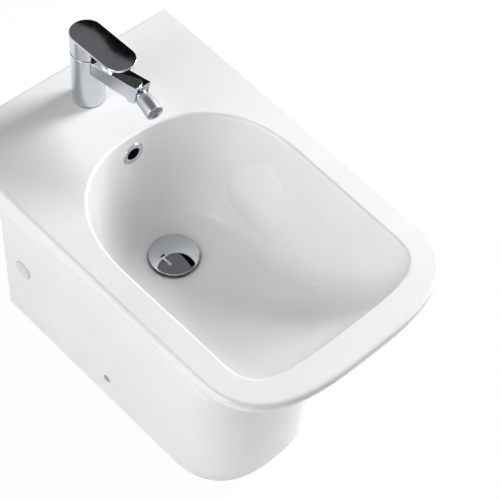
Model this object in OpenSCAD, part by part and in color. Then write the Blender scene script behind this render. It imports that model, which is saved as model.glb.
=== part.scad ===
// Floor mounted bidet: a fired ceramic body with its single lever tap,
// click waste, overflow, trap and side covers.
// Millimetres, +Z up. The origin is on the floor, at the wall, on the centre line;
// the bowl runs towards -Y.

/* [Rim] */
// Height of the deck and rim above the floor
rim_h = 400; // [385:1:430]
// Depth of the body from the wall to the front of the rim
rim_len = 542; // [530:1:560]
// Width of the rim at the wall
rim_w_rear = 347; // [340:1:365]
// Width of the rim where its front curve starts
rim_w_front = 334; // [326:1:346]
// Depth of the front curve of the rim
rim_curve_d = 111; // [100:1:120]
// Squareness of the front curve of the rim
rim_square = 3; // [2.5:0.1:3.5]
// Radius of the glazed edge round the rim
rim_edge_r = 5; // [2:0.5:6]
// Radius of the upright corners at the wall
corner_r = 3; // [1:0.5:5]

/* [Foot] */
// Width of the pedestal at the wall
foot_w_rear = 221; // [212:1:230]
// Width of the pedestal where its front curve starts
foot_w_front = 204.8; // [196:0.1:210]
// Depth of the pedestal on the floor
foot_len = 426.5; // [415:0.5:435]
// Depth of the front curve of the pedestal
foot_curve_d = 96.4; // [85:0.1:105]
// Squareness of the front curve of the pedestal
foot_square = 2.55; // [2.2:0.05:3]
// Radius of the pedestal's edge at the floor
foot_edge_r = 6; // [2:0.5:8]

/* [Flare] */
// Height of the flat side band of the deck at the wall
band_rear_h = 50; // [40:1:60]
// Height of the flat side band where it meets the front lip
band_front_h = 14; // [10:1:20]
// Height over which the rear band turns in to the pedestal
flare_rear_h = 110; // [95:1:125]
// Height over which the sides of the bowl run in to the pedestal
flare_side_h = 125; // [110:1:140]
// Height of the lip at the front of the rim
lip_front_h = 13; // [10:1:18]
// Height over which the front overhang runs in to the pedestal
flare_front_h = 190; // [175:1:200]

/* [Ceramic wall] */
// Thickness of the fired wall
wall = 12; // [10:0.5:13]
// Thickness of the tap deck
deck_t = 14; // [12:0.5:16]
// Width of the opening in the back of the pedestal
back_open_w = 160; // [130:1:170]
// Height of the opening in the back of the pedestal
back_open_h = 250; // [220:1:260]

/* [Basin] */
// Full width of the basin opening
basin_w = 268; // [260:1:272]
// Distance from the wall to the rear of the basin opening
basin_rear = 140.5; // [138:0.5:146]
// Distance from the wall to the front of the basin opening
basin_front = 502.2; // [494:0.2:504]
// Distance from the wall to the widest line of the basin
basin_mid = 290; // [285:1:295]
// Width of the basin where its front curve starts
basin_w_front = 262; // [256:1:266]
// Depth of the front curve of the basin
basin_curve_d = 72; // [66:1:78]
// Squareness of the rear of the basin opening
basin_rear_square = 2.35; // [2.1:0.05:2.6]
// Squareness of the front of the basin opening
basin_front_square = 4; // [3:0.1:4.5]
// Radius of the glazed edge round the basin
basin_edge_r = 4; // [2:0.5:5]
// Height of the basin floor at the waste above the ground
basin_floor_h = 238; // [230:1:245]
// Roundness of the basin's rear wall
bowl_rear_round = 2.2; // [1.9:0.05:2.5]
// Roundness of the basin's side walls
bowl_side_round = 2.1; // [1.8:0.05:2.4]
// Roundness of the basin's front slope
bowl_front_round = 1.62; // [1.5:0.02:1.8]
// Squareness of the basin's front near its floor
bowl_low_square = 2.1; // [2:0.05:2.4]
// How slowly the basin squares off on its way up
bowl_square_rise = 0.6; // [0.4:0.05:0.8]

/* [Waste seat] */
// Distance from the wall to the waste
waste_back = 219; // [214:1:224]
// Radius of the recess that the waste flange sits in
recess_r = 38.5; // [37.5:0.5:39.5]
// Depth of that recess
recess_d = 5.5; // [4.5:0.5:6.5]
// Radius of the waste hole
waste_hole_r = 23; // [22.5:0.1:24]
// Radius of the thickened ring round the waste hole
boss_r = 36; // [34:0.5:38]
// Height of the waste hole from seat to underside
waste_bore_l = 27; // [25:0.5:32]

/* [Overflow] */
// Height of the overflow above the floor
overflow_h = 367; // [364:1:370]
// Radius of the overflow bore
overflow_bore_r = 12; // [11:0.1:12.5]
// Radius of the overflow ring's face
overflow_face_r = 14.2; // [13.5:0.1:15]
// Radius of the hole through the overflow ring
overflow_hole_r = 8.8; // [8:0.1:9.4]
// Thickness of the overflow ring's face
overflow_face_t = 2; // [1.5:0.1:3]
// Length of the overflow ring's sleeve
overflow_sleeve_l = 12; // [8:0.5:14]
// Width of the overflow duct inside the body
duct_w = 22; // [18:1:26]
// Depth of the overflow duct
duct_d = 12; // [10:0.5:14]
// Thickness of the duct's own wall
duct_wall = 7; // [6:0.5:8]

/* [Side holes] */
// Radius of each floor fixing hole
fixing_r = 6; // [5:0.1:7]
// Distance from the wall to the floor fixing holes
fixing_back = 210; // [200:1:225]
// Height of the floor fixing holes
fixing_h = 48; // [40:1:60]
// Radius of each access hole
access_r = 13; // [12:0.1:13.5]
// Distance from the wall to the access holes
access_back = 41.7; // [38:0.1:50]
// Height of the access holes
access_h = 120.4; // [110:0.1:130]
// Radius of the cover over each access hole
cover_r = 14.5; // [14:0.1:16]
// Thickness of the cover's face
cover_t = 1.8; // [1.2:0.1:2.5]
// Length of the cover's spigot
cover_spigot_l = 9; // [6:0.5:10]

/* [Tap body] */
// Distance from the wall to the tap's axis
tap_back = 58; // [54:1:62]
// Radius of the tap hole
tap_hole_r = 17.5; // [17:0.1:17.5]
// Radius of the tap body
tap_r = 20.5; // [20:0.1:21.5]
// Height of the tap body above the deck
tap_h = 79.6; // [78:0.1:84]
// Thickness of the gasket under the tap
gasket_t = 1; // [0.5:0.1:2]
// Radius of each supply inlet
inlet_r = 5; // [4.5:0.1:5.2]
// Depth of each supply inlet
inlet_l = 12; // [10:0.5:16]
// Distance between the two supply inlets
inlet_gap = 17; // [16:0.5:18]
// Radius of the supply and outlet passages
passage_r = 2.8; // [2.5:0.1:3]

/* [Spout] */
// Width of the spout
spout_w = 21; // [19:0.5:23]
// Reach of the spout's top edge from the tap's axis
spout_reach = 103.3; // [98:0.1:106]
// Height of the spout's top edge above the deck at its end
spout_tip_h = 103.7; // [101:0.1:106]
// Height of the spout's top above the deck at the body
spout_root_h = 79.3; // [76:0.1:79.3]
// Height of the spout's underside above the deck at the body
spout_low_h = 59; // [57:0.1:61]
// Rise of the spout's underside for each millimetre of reach
spout_low_rise = 0.214; // [0.2:0.002:0.225]
// Forward lean of the spout's end face in degrees
face_lean = 12; // [10:0.5:14]
// Radius of the round boss under the end of the spout
boss_under_r = 10.4; // [9.5:0.1:10.4]
// Reach of that boss from the tap's axis
boss_under_reach = 86.5; // [84:0.1:88]
// Height of the underside of that boss above the deck
boss_under_h = 70.7; // [69:0.1:71.5]
// Radius of the waterway in the spout
waterway_r = 4; // [3.5:0.1:4.2]

/* [Swivel nozzle] */
// Radius of the swivel ball
ball_r = 8.2; // [7.8:0.1:8.4]
// Reach of the ball's centre from the tap's axis
ball_reach = 96.7; // [96.2:0.1:97.2]
// Height of the ball's centre above the deck
ball_h = 85.7; // [85.2:0.1:86.2]
// Thickness of the cup that the ball turns in
ball_cup_t = 1.15; // [1:0.05:1.3]
// Radius of the neck between ball and nozzle
neck_r = 4.6; // [4:0.1:5]
// Length of the nozzle
nozzle_l = 25; // [22:0.5:28]
// Radius of the nozzle at its rear
nozzle_rear_r = 10.2; // [9.6:0.1:10.4]
// Radius of the nozzle at its mouth
nozzle_mouth_r = 10.8; // [10.4:0.1:11.4]
// Distance from the ball's centre to the rear of the nozzle
nozzle_gap = 7; // [7:0.1:8]
// Turn of the nozzle to the side as it stands, in degrees
nozzle_yaw = -8.1; // [-12:0.1:12]
// Dip of the nozzle as it stands, in degrees
nozzle_dip = 6.9; // [2:0.1:16]
// Radius of the nozzle's inner chamber
chamber_r = 9.3; // [8.8:0.1:9.4]
// Side of each square hole in the aerator screen
screen_hole = 1.1; // [0.8:0.1:1.2]
// Distance between the holes in the aerator screen
screen_pitch = 2; // [1.9:0.1:2.4]

/* [Lever] */
// Radius of the lever's hub
hub_r = 20.5; // [20:0.1:21.5]
// Gap between the tap body and the hub
seam_gap = 1; // [0.8:0.1:2]
// Height of the hub
hub_h = 27.4; // [25:0.1:30]
// Radius of the hub's hollow
hub_hollow_r = 17.8; // [17.5:0.1:18]
// Half width of the lever's plate
plate_r = 20.6; // [20:0.1:21.5]
// Distance from the axis to the centre of the plate's front curve
plate_reach = 59.5; // [50:0.5:65]
// Thickness of the plate
plate_t = 3.5; // [3:0.1:4.5]
// Rise of the plate in degrees
plate_rise = 2.86; // [1:0.01:3.5]
// Tilt that the underside of the hub is cut away for, in degrees
relief_tilt = 19.5; // [18.5:0.5:22]

/* [Cartridge] */
// Radius of the cartridge
cartridge_r = 12.5; // [12:0.1:12.6]
// Height of the cartridge's underside above the deck
cartridge_low_h = 38; // [36:0.5:40]
// Length of the cartridge
cartridge_l = 28; // [27:0.5:29]
// Radius of the turning core
core_r = 9; // [8.6:0.1:9.2]
// Thickness of the cartridge's floor
cartridge_floor_t = 4; // [3:0.5:5]
// Thickness of each ceramic disc
disc_t = 3; // [2.5:0.1:3.5]
// Side of the square stem
stem_w = 6; // [5.6:0.1:6.2]
// Height of the stem's pivot above the deck
pivot_h = 70; // [69.5:0.1:70.5]
// Length of the stem below the pivot
stem_low_l = 12; // [10:0.5:13]
// Length of the stem above the pivot
stem_high_l = 27; // [25:0.5:27.5]
// Radius of the pivot pin
pivot_pin_r = 1.25; // [1:0.05:1.5]
// Thickness of the nut that holds the cartridge
nut_t = 11; // [10:0.5:11.5]
// Height of the slip ring under the hub
slip_ring_t = 0.6; // [0.4:0.1:0.7]

/* [Tap fixing] */
// Radius of the fixing stud
stud_r = 4; // [3:0.1:4.5]
// Length of the stud below the tap body
stud_l = 56; // [50:1:70]
// Distance of the stud behind the tap's axis
stud_back = 10; // [9:0.5:11]
// Radius of the clamp plate and its seal
clamp_r = 23; // [21:0.5:25]
// Thickness of the rubber seal under the deck
clamp_seal_t = 3; // [2:0.5:4]
// Thickness of the clamp plate
clamp_t = 2.5; // [2:0.5:4]
// Height of the stud nut
stud_nut_t = 6.5; // [5:0.5:8]
// Radius of the stud nut across its corners
stud_nut_r = 7.5; // [7:0.1:8.5]

/* [Waste] */
// Radius of the waste tube
waste_tube_r = 20.9; // [20.5:0.1:21.3]
// Wall of the waste tube
waste_tube_wall = 3.4; // [3:0.1:3.8]
// Length of the waste tube below its flange
waste_tube_l = 70; // [66:1:76]
// Radius of the waste flange
flange_r = 30; // [29:0.5:31]
// Thickness of the waste flange
flange_t = 2.3; // [2:0.1:2.5]
// Thickness of the seal under the waste flange
flange_seal_t = 1.5; // [1:0.1:2]
// Radius of each overflow slot in the waste tube
slot_r = 5; // [4:0.1:5.5]
// Thickness of the seal under the body
under_seal_t = 4; // [3:0.5:6]
// Height of the back nut
back_nut_t = 10; // [8:0.5:12]
// Radius of the back nut across its corners
back_nut_r = 31; // [29:0.5:34]
// Radius of the domed cap
cap_r = 32.2; // [31.5:0.1:33]
// Height of the underside of the cap above the basin floor
cap_lift = 3.8; // [3.6:0.1:5]
// Height of the upright edge of the cap
cap_edge_h = 2.2; // [1.6:0.1:2.5]
// Height of the dome above that edge
cap_dome_h = 6.2; // [5:0.1:7]
// Thickness of the seal under the cap
cap_seal_t = 0.7; // [0.5:0.1:0.8]
// Radius of the plunger under the cap
plunger_r = 5; // [4.5:0.1:5.5]
// Length of the plunger
plunger_l = 42; // [40:1:46]
// Height of the guide that holds the plunger
guide_t = 12; // [10:0.5:14]
// Distance from the top of the waste flange down to the guide
guide_drop = 20; // [18:0.5:22]
// Radius of the plunger's collar
collar_r = 8; // [7:0.1:9]

/* [Trap] */
// Radius of the trap's inlet and outlet pipes
pipe_r = 16; // [15.8:0.1:16.2]
// Wall of those pipes
pipe_wall = 1.8; // [1.5:0.1:2.5]
// Height of the waste outlet above the floor
outlet_h = 108; // [100:1:112]
// Length of the outlet pipe that goes into the drain's seal
outlet_free_l = 60; // [50:1:80]
// Width of the bead that stops the pipe in that seal
stop_bead_w = 3; // [2:0.5:5]
// Height of that bead above the pipe
stop_bead_h = 1.5; // [1:0.1:2.5]
// Radius of the trap's body
trap_r = 28; // [26:0.5:32]
// Wall of the trap's body
trap_wall = 2.5; // [2:0.1:3]
// Height of the trap's body above the outlet's axis
trap_high = 22; // [20:1:24]
// Depth of the trap's body below the outlet's axis
trap_low = 46; // [40:1:52]
// Height of the trap's cup
cup_h = 26; // [22:1:30]
// Radius of the trap's cup
cup_r = 32; // [31:0.5:35]
// Height of each trap nut
trap_nut_h = 16; // [14:0.5:18]
// Thickness of each trap nut's wall
trap_nut_wall = 4; // [3.5:0.5:5]
// Thickness of each trap seal
trap_seal_t = 3; // [2.5:0.5:4]

/* [Clearances] */
// Radial gap of a turning or sliding fit
fit_gap = 0.05; // [0.02:0.01:0.08]
// Gap between pieces that move past each other
free_gap = 0.3; // [0.2:0.05:0.4]
// Radial gap of a piece dropped in its hole
slip_gap = 0.2; // [0.1:0.05:0.3]

/* [Hidden] */
$fn = 96;
// Overlap that lets one solid run into another, and a cut run out of its solid
eps = 0.5;
through = 2;
quarter = 90;

// Steps along half of the outline: wall edge, side and front curve
wall_steps = 2;
side_steps = 12;
side_rear_steps = 8;
front_steps = 10;
half_steps = wall_steps + side_steps + front_steps;
edge_steps = 3;
flare_steps = 18;
flare_margin = 10;
bowl_steps = 11;
inner_steps = 7;

rim_side = rim_len - rim_curve_d;
foot_side = foot_len - foot_curve_d;
basin_side = basin_front - basin_curve_d;
flare_top = rim_h - rim_edge_r;
flare_low = rim_h - lip_front_h - flare_front_h - flare_margin;
bowl_top = rim_h - basin_edge_r;
bowl_h = bowl_top - basin_floor_h;
seat_lip = 1.5;
bowl_start_r = recess_r + seat_lip;

// Where along the outline each kind of flare fades into the next
band_run = 330;
flare_fade_start = 60;
flare_fade_end = 310;
lip_fade_start = 0.75;
lip_fade_end = 1.4;
side_turn = 1.8;
front_turn = 1.3;
crease_blur = 3;
corner_step = 0.4;

function ease(t) = let(c = min(1, max(0, t))) c * c * (3 - 2 * c);
function mix(a, b, t) = a + (b - a) * t;
function power(v, n) = pow(abs(v), n);

// A point on a quarter of a superellipse: angle 0 is its side, 90 its end
function super_point(a, b, n, angle) =
    [a * power(cos(angle), 2 / n), b * power(sin(angle), 2 / n)];

// Progress along half of the outline: 0 to 1 on the side, 1 to 2 on the front curve
function side_share(i) =
    let(k = i - wall_steps, rear_share = basin_mid / rim_side)
    k <= side_rear_steps ? rear_share * k / side_rear_steps
    : mix(rear_share, 1, (k - side_rear_steps) / (side_steps - side_rear_steps));
function progress(i) =
    i <= wall_steps ? 0
    : i <= wall_steps + side_steps ? side_share(i)
    : 1 + (i - wall_steps - side_steps) / front_steps;

// Half outline of the body in plan, from the middle of the wall edge to the front
function half_point(i, w_rear, w_front, side, curve_d, n) =
    i < wall_steps ? [(w_rear / 2 - corner_r) * i / (wall_steps - 1), 0]
    : i <= wall_steps + side_steps
        ? let(t = side_share(i)) [mix(w_rear, w_front, t) / 2, -mix(corner_r, side, t)]
    : let(p = super_point(w_front / 2, curve_d, n,
                          quarter * (i - wall_steps - side_steps) / front_steps))
      [p[0], -side - p[1]];
function rim_point(i) =
    half_point(i, rim_w_rear, rim_w_front, rim_side, rim_curve_d, rim_square);
function foot_point(i) =
    half_point(i, foot_w_rear, foot_w_front, foot_side, foot_curve_d, foot_square);

// Half outline of the basin opening, on the same steps
function opening_point(i) =
    let(rear_end = wall_steps + side_rear_steps, side_end = wall_steps + side_steps)
    i <= rear_end
        ? let(p = super_point(basin_w / 2, basin_mid - basin_rear, basin_rear_square,
                              quarter * (1 - i / rear_end)))
          [p[0], -basin_mid + p[1]]
    : i <= side_end
        ? let(t = (i - rear_end) / (side_end - rear_end))
          [mix(basin_w, basin_w_front, t) / 2, -mix(basin_mid, basin_side, t)]
    : let(p = super_point(basin_w_front / 2, basin_curve_d, basin_front_square,
                          quarter * (i - side_end) / front_steps))
      [p[0], -basin_side - p[1]];

// How far the outline has run out from the foot (0) to the rim (1) at height z
function fall(z, top, depth) = min(1, max(0, (z - top + depth) / depth));
function flare_at(i, z) =
    let(q = progress(i), back = q * rim_side,
        fade = ease((back - flare_fade_start) / (flare_fade_end - flare_fade_start)),
        front_part = ease((q - lip_fade_start) / (lip_fade_end - lip_fade_start)),
        side_band = mix(band_rear_h, band_front_h, ease(back / band_run)),
        band = mix(side_band, lip_front_h, front_part),
        side_depth = mix(flare_rear_h, flare_side_h, fade),
        depth = mix(side_depth, flare_front_h, front_part),
        t = fall(z, rim_h - band, depth))
    mix(pow(t, side_turn), pow(t, front_turn), front_part);
function flare(i, z) =
    (flare_at(i, z - crease_blur) + flare_at(i, z) + flare_at(i, z + crease_blur)) / 3;

// A whole loop in plan made from half of it, clockwise seen from above
function whole(half) =
    concat(half, [for (i = [half_steps - 1 : -1 : 1]) [-half[i][0], half[i][1], half[i][2]]]);
function outer_loop(z) =
    whole([for (i = [0 : half_steps])
        let(s = flare(i, z), f = foot_point(i), r = rim_point(i))
        [mix(f[0], r[0], s), mix(f[1], r[1], s), z]]);
function outward(ring, k) =
    let(n = len(ring), a = ring[(k + n - 1) % n], b = ring[(k + 1) % n],
        t = [b[0] - a[0], b[1] - a[1]])
    [-t[1], t[0]] / norm(t);
function grown(ring, by) =
    [for (k = [0 : len(ring) - 1])
        let(o = outward(ring, k)) [ring[k][0] + o[0] * by, ring[k][1] + o[1] * by, ring[k][2]]];
function lifted(ring, z) = [for (p = ring) [p[0], p[1], z]];
// The loop drawn in, with the two points of each wall corner kept in order
function inset(ring, by) =
    let(g = grown(ring, -by), n = len(g), side_x = g[wall_steps][0] - corner_step)
    [for (k = [0 : n - 1])
        let(p = g[k],
            on_wall = k < wall_steps || k > n - wall_steps,
            past_corner = k == wall_steps || k == n - wall_steps)
        [on_wall ? min(side_x, max(-side_x, p[0])) : p[0],
         on_wall ? -by : min(p[1], past_corner ? -by - corner_step : -by),
         p[2]]];

// The basin: share h of its height runs from its floor to its top
function bowl_round(i) =
    let(q = progress(i))
    q <= 1 ? mix(bowl_rear_round, bowl_side_round, ease(q))
    : mix(bowl_side_round, bowl_front_round, ease(q - 1));
function bowl_share(h, n) = pow(1 - pow(1 - h, n), 1 / n);
// A rounder outline that the lower part of the basin follows
function low_outline(i) =
    let(rear_end = wall_steps + side_rear_steps)
    i <= rear_end ? opening_point(i)
    : let(p = super_point(basin_w / 2, basin_front - basin_mid, bowl_low_square,
                          quarter * (i - rear_end) / (half_steps - rear_end)))
      [p[0], -basin_mid - p[1]];
function bowl_point(i, h) =
    let(low = low_outline(i), high = opening_point(i), t = pow(h, bowl_square_rise),
        o = [mix(low[0], high[0], t), mix(low[1], high[1], t) + waste_back],
        far = norm(o),
        r = mix(bowl_start_r, far, bowl_share(h, bowl_round(i))))
    [o[0] / far * r, o[1] / far * r - waste_back, basin_floor_h + bowl_h * h];
function bowl_loop(h) = whole([for (i = [0 : half_steps]) bowl_point(i, h)]);
function bowl_height(k) = 1 - cos(quarter * k / bowl_steps);

// The inner face of the walls, up to a ceiling that drops towards the front
inner_top_rear = rim_h - deck_t;
inner_front_rise = 10;
inner_top_front = basin_floor_h + inner_front_rise;
inner_fade_start = 0.62;
inner_fade_end = 1;
function inner_top(i) =
    mix(inner_top_rear, inner_top_front,
        ease((progress(i) - inner_fade_start) / (inner_fade_end - inner_fade_start)));
function inner_level(i, k) = mix(flare_low, inner_top(i), k / inner_steps);
function inner_loop(k) =
    inset(whole([for (i = [0 : half_steps])
        let(z = inner_level(i, k), s = flare(i, z), f = foot_point(i), r = rim_point(i))
        [mix(f[0], r[0], s), mix(f[1], r[1], s), z]]), wall);
under_probe = 0.02;
function under_share(i, k) =
    (inner_top(i) - basin_floor_h) / bowl_h * (1 - sin(quarter * k / inner_steps));
function under_point(i, k) =
    let(h = under_share(i, k),
        low = bowl_point(i, max(0, h - under_probe)),
        high = bowl_point(i, min(1, h + under_probe)),
        ring_before = bowl_point(max(0, i - 1), h),
        ring_after = bowl_point(min(half_steps, i + 1), h),
        t = i == 0 ? [1, 0] : i == half_steps ? [-1, 0]
            : [ring_after[0] - ring_before[0], ring_after[1] - ring_before[1]],
        o = [-t[1], t[0]] / norm(t),
        run = (high[0] - low[0]) * o[0] + (high[1] - low[1]) * o[1],
        rise = high[2] - low[2],
        slope = norm([run, rise]),
        p = bowl_point(i, h))
    [p[0] + o[0] * wall * rise / slope, p[1] + o[1] * wall * rise / slope,
     p[2] - wall * run / slope];
function under_loop(k) = whole([for (i = [0 : half_steps]) under_point(i, k)]);

opening_loop = bowl_loop(1);
rim_loop = outer_loop(flare_top);
foot_loop = outer_loop(0);
shell_rings = concat(
    [for (k = [0 : bowl_steps]) bowl_loop(bowl_height(k))],
    [for (k = [1 : edge_steps])
        let(a = quarter * k / edge_steps)
        lifted(grown(opening_loop, basin_edge_r * (1 - cos(a))),
               bowl_top + basin_edge_r * sin(a))],
    [for (k = [edge_steps : -1 : 1])
        let(a = quarter * k / edge_steps)
        lifted(inset(rim_loop, rim_edge_r * (1 - cos(a))), flare_top + rim_edge_r * sin(a))],
    [for (k = [flare_steps : -1 : 0]) outer_loop(mix(flare_low, flare_top, k / flare_steps))],
    [for (k = [0 : edge_steps])
        let(a = quarter * k / edge_steps)
        lifted(inset(foot_loop, foot_edge_r * (1 - cos(a))), foot_edge_r * (1 - sin(a)))],
    [lifted(inset(foot_loop, wall), 0)],
    [for (k = [0 : inner_steps]) inner_loop(k)],
    [for (k = [0 : inner_steps - 1]) under_loop(k)],
    [lifted(bowl_loop(0), basin_floor_h - wall)]);

// A closed skin through a list of rings, flat at its first and last ring
module skin(rings) {
    n = len(rings[0]);
    last = len(rings) - 1;
    points = [for (ring = rings) for (p = ring) p];
    sides = [for (r = [0 : last - 1]) for (k = [0 : n - 1])
        let(a = r * n + k, b = r * n + (k + 1) % n)
        each [[a, a + n, b], [b, a + n, b + n]]];
    polyhedron(points, concat(sides, [[for (k = [0 : n - 1]) k]],
                              [[for (k = [n - 1 : -1 : 0]) last * n + k]]));
}

waste_seat_h = basin_floor_h - recess_d;
waste_under_h = waste_seat_h - waste_bore_l;
duct_gap = 3;
duct_rise = 10;
duct_back = basin_rear - wall - duct_gap;
duct_low = waste_under_h + duct_rise;
duct_high = overflow_h + overflow_bore_r;
flank_turn = atan((foot_w_rear - foot_w_front) / 2 / foot_side);
overflow_sink = 0.5;
overflow_seat = basin_rear - overflow_sink;

module at_waste(z) { translate([0, -waste_back, z]) children(); }
module at_tap(h) { translate([0, -tap_back, rim_h + h]) children(); }
module ring(r_out, r_in, h) {
    difference() {
        cylinder(r = r_out, h = h);
        translate([0, 0, -through]) cylinder(r = r_in, h = h + 2 * through);
    }
}
module block(x, y, z) {
    translate([x[0], y[0], z[0]]) cube([x[1] - x[0], y[1] - y[0], z[1] - z[0]]);
}

module overflow_duct(extra) {
    half = duct_w / 2 + extra;
    block([-half, half], [-duct_back - extra, duct_d - duct_back + extra],
          [duct_low - extra, duct_high + extra]);
    block([-half, half], [waste_hole_r - waste_back - eps, duct_d - duct_back + extra],
          [duct_low - extra, duct_low + duct_d + extra]);
}
module side_place(side, back, h) {
    depth_share = (back - corner_r) / (foot_side - corner_r);
    x = mix(foot_w_rear, foot_w_front, depth_share) / 2;
    translate([side * x, -back, h]) rotate([0, 0, -side * flank_turn])
        rotate([0, side * quarter, 0]) children();
}
module side_hole(r, back, h) {
    for (side = [-1, 1]) translate([side * foot_w_rear / 2, -back, h])
        rotate([0, -side * quarter, 0]) translate([0, 0, -through])
            cylinder(r = r, h = 3 * wall);
}

module ceramic_body() {
    color([0.96, 0.96, 0.95])
    difference() {
        union() {
            skin(shell_rings);
            at_waste(waste_under_h) cylinder(r = boss_r, h = waste_bore_l - recess_d);
            overflow_duct(duct_wall);
        }
        overflow_duct(0);
        at_waste(waste_seat_h) cylinder(r = recess_r, h = recess_d + through);
        at_waste(waste_under_h - wall)
            cylinder(r = waste_hole_r, h = wall + waste_bore_l + through);
        translate([0, duct_d / 2 - duct_back, overflow_h]) rotate([quarter, 0, 0])
            cylinder(r = overflow_bore_r, h = 3 * wall);
        translate([0, -overflow_seat, overflow_h]) rotate([quarter, 0, 0])
            cylinder(r = overflow_face_r + slip_gap, h = wall);
        at_tap(-deck_t - through) cylinder(r = tap_hole_r, h = deck_t + 2 * through);
        at_tap(-deck_t - wall) cylinder(r = clamp_r + free_gap, h = wall);
        side_hole(fixing_r, fixing_back, fixing_h);
        for (side = [-1, 1]) side_place(side, access_back, access_h)
            translate([0, 0, -2 * wall]) cylinder(r = access_r, h = 3 * wall);
        block([-back_open_w / 2, back_open_w / 2], [-wall - through, through],
              [-through, back_open_h]);
    }
}

module overflow_ring() {
    color("silver")
    translate([0, -overflow_seat, overflow_h]) rotate([quarter, 0, 0])
    difference() {
        union() {
            cylinder(r = overflow_face_r, h = overflow_face_t);
            translate([0, 0, -overflow_sleeve_l])
                cylinder(r = overflow_bore_r - slip_gap, h = overflow_sleeve_l + eps);
        }
        translate([0, 0, -overflow_sleeve_l - through])
            cylinder(r = overflow_hole_r, h = overflow_sleeve_l + overflow_face_t + 2 * through);
    }
}

module access_cover(side) {
    spigot_wall = 1.6;
    side_place(side, access_back, access_h) {
        cylinder(r = cover_r, h = cover_t);
        translate([0, 0, -cover_spigot_l])
            ring(access_r - slip_gap, access_r - slip_gap - spigot_wall, cover_spigot_l + eps);
    }
}
module access_cover_left() { color([0.80, 0.82, 0.78]) access_cover(-1); }
module access_cover_right() { color([0.80, 0.82, 0.78]) access_cover(1); }

// The tap's body, its spout and the waterways inside them
tap_top_wall = 3;
bore_top_r = tap_r - tap_top_wall;
housing_top_h = cartridge_low_h + cartridge_l;
spout_tip_low_h = spout_low_h + spout_low_rise * (spout_reach - tap_r);
face_drop = spout_tip_h - spout_tip_low_h;
spout_tip_low_reach = spout_reach - face_drop * tan(face_lean);
waterway_start = 12;
waterway_rise = 8;
waterway_low = spout_low_h + waterway_rise;
boss_overlap = 3;

module at_ball() {
    translate([0, -tap_back - ball_reach, rim_h + ball_h]) children();
}
module face_frame() { at_ball() rotate([quarter + face_lean, 0, 0]) children(); }
module nozzle_frame() {
    at_ball() rotate([0, 0, nozzle_yaw]) rotate([quarter + nozzle_dip, 0, 0]) children();
}
face_out = (spout_reach - ball_reach) * cos(face_lean)
         - (spout_tip_h - ball_h) * sin(face_lean);
pocket_r = ball_r + 2 * fit_gap + ball_cup_t;

module spout_bar() {
    root = 6;
    at_tap(0) rotate([quarter, 0, -quarter]) translate([0, 0, -spout_w / 2])
        linear_extrude(spout_w) polygon([
            [root, spout_low_h - spout_low_rise * (tap_r - root)],
            [root, spout_root_h],
            [tap_r, spout_root_h],
            [spout_reach, spout_tip_h],
            [spout_tip_low_reach, spout_tip_low_h]]);
}
module spout_waterway() {
    run = ball_reach - waterway_start;
    rise = ball_h - waterway_low;
    translate([0, -tap_back - waterway_start, rim_h + waterway_low])
        rotate([quarter - atan(rise / run), 0, 0])
        cylinder(r = waterway_r, h = norm([run, rise]) - ball_r);
}
module tap_body() {
    color("silver")
    difference() {
        union() {
            at_tap(gasket_t) cylinder(r = tap_r, h = tap_h - gasket_t);
            spout_bar();
            at_tap(boss_under_h) translate([0, -boss_under_reach, 0])
                cylinder(r = boss_under_r, h = spout_tip_low_h - boss_under_h + boss_overlap);
        }
        at_tap(cartridge_low_h) cylinder(r = cartridge_r + fit_gap, h = tap_h);
        at_tap(housing_top_h) cylinder(r = bore_top_r, h = tap_h);
        for (side = [-1, 1]) at_tap(0) translate([side * inlet_gap / 2, 0, 0]) {
            cylinder(r = inlet_r, h = gasket_t + inlet_l);
            cylinder(r = passage_r, h = cartridge_low_h + eps);
        }
        at_tap(0) translate([0, stud_back, 0]) cylinder(r = stud_r, h = gasket_t + inlet_l);
        at_tap(cartridge_low_h - 2 * passage_r) translate([0, -tap_r + 2 * passage_r, 0])
            cylinder(r = passage_r / 2, h = waterway_low - cartridge_low_h + 2 * passage_r);
        at_tap(cartridge_low_h - 2 * passage_r) rotate([quarter, 0, 0])
            cylinder(r = passage_r / 2, h = tap_r - 2 * passage_r);
        at_tap(cartridge_low_h - 2 * passage_r) cylinder(r = passage_r / 2, h = 3 * passage_r);
        spout_waterway();
        at_ball() sphere(r = pocket_r);
        face_frame() cylinder(r = pocket_r + fit_gap, h = face_out + 2 * through);
    }
}

gasket_step = 0.5;
module tap_gasket() {
    color([0.1, 0.1, 0.1])
    at_tap(0) difference() {
        cylinder(r = tap_r - gasket_step, h = gasket_t);
        translate([0, 0, -through])
            cylinder(r = tap_hole_r - 2 * gasket_step, h = gasket_t + 2 * through);
    }
}

// The cartridge that the lever works
core_low_h = cartridge_low_h + cartridge_floor_t + 2 * disc_t;
core_above_pivot = 4;
core_top_h = pivot_h + core_above_pivot;
hub_low_h = tap_h + seam_gap;

disc_hole_r = passage_r - 1;
disc_rim = 1;
module disc_holes(h) {
    for (side = [-1, 1]) translate([side * inlet_gap / 4, 0, -through])
        cylinder(r = disc_hole_r, h = h + 2 * through);
}
module cartridge_housing() {
    color([0.85, 0.85, 0.82])
    at_tap(cartridge_low_h) difference() {
        cylinder(r = cartridge_r, h = cartridge_l);
        translate([0, 0, cartridge_floor_t]) cylinder(r = core_r + fit_gap, h = cartridge_l);
        disc_holes(cartridge_floor_t);
        translate([0, 0, -through])
            cylinder(r = passage_r / 2, h = cartridge_floor_t + 2 * through);
    }
}
module fixed_disc() {
    color([0.92, 0.90, 0.84])
    at_tap(cartridge_low_h + cartridge_floor_t) difference() {
        cylinder(r = core_r, h = disc_t);
        disc_holes(disc_t);
    }
}
module moving_disc() {
    color([0.90, 0.88, 0.82])
    at_tap(cartridge_low_h + cartridge_floor_t + disc_t)
        ring(core_r - disc_rim, passage_r, disc_t);
}
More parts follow.
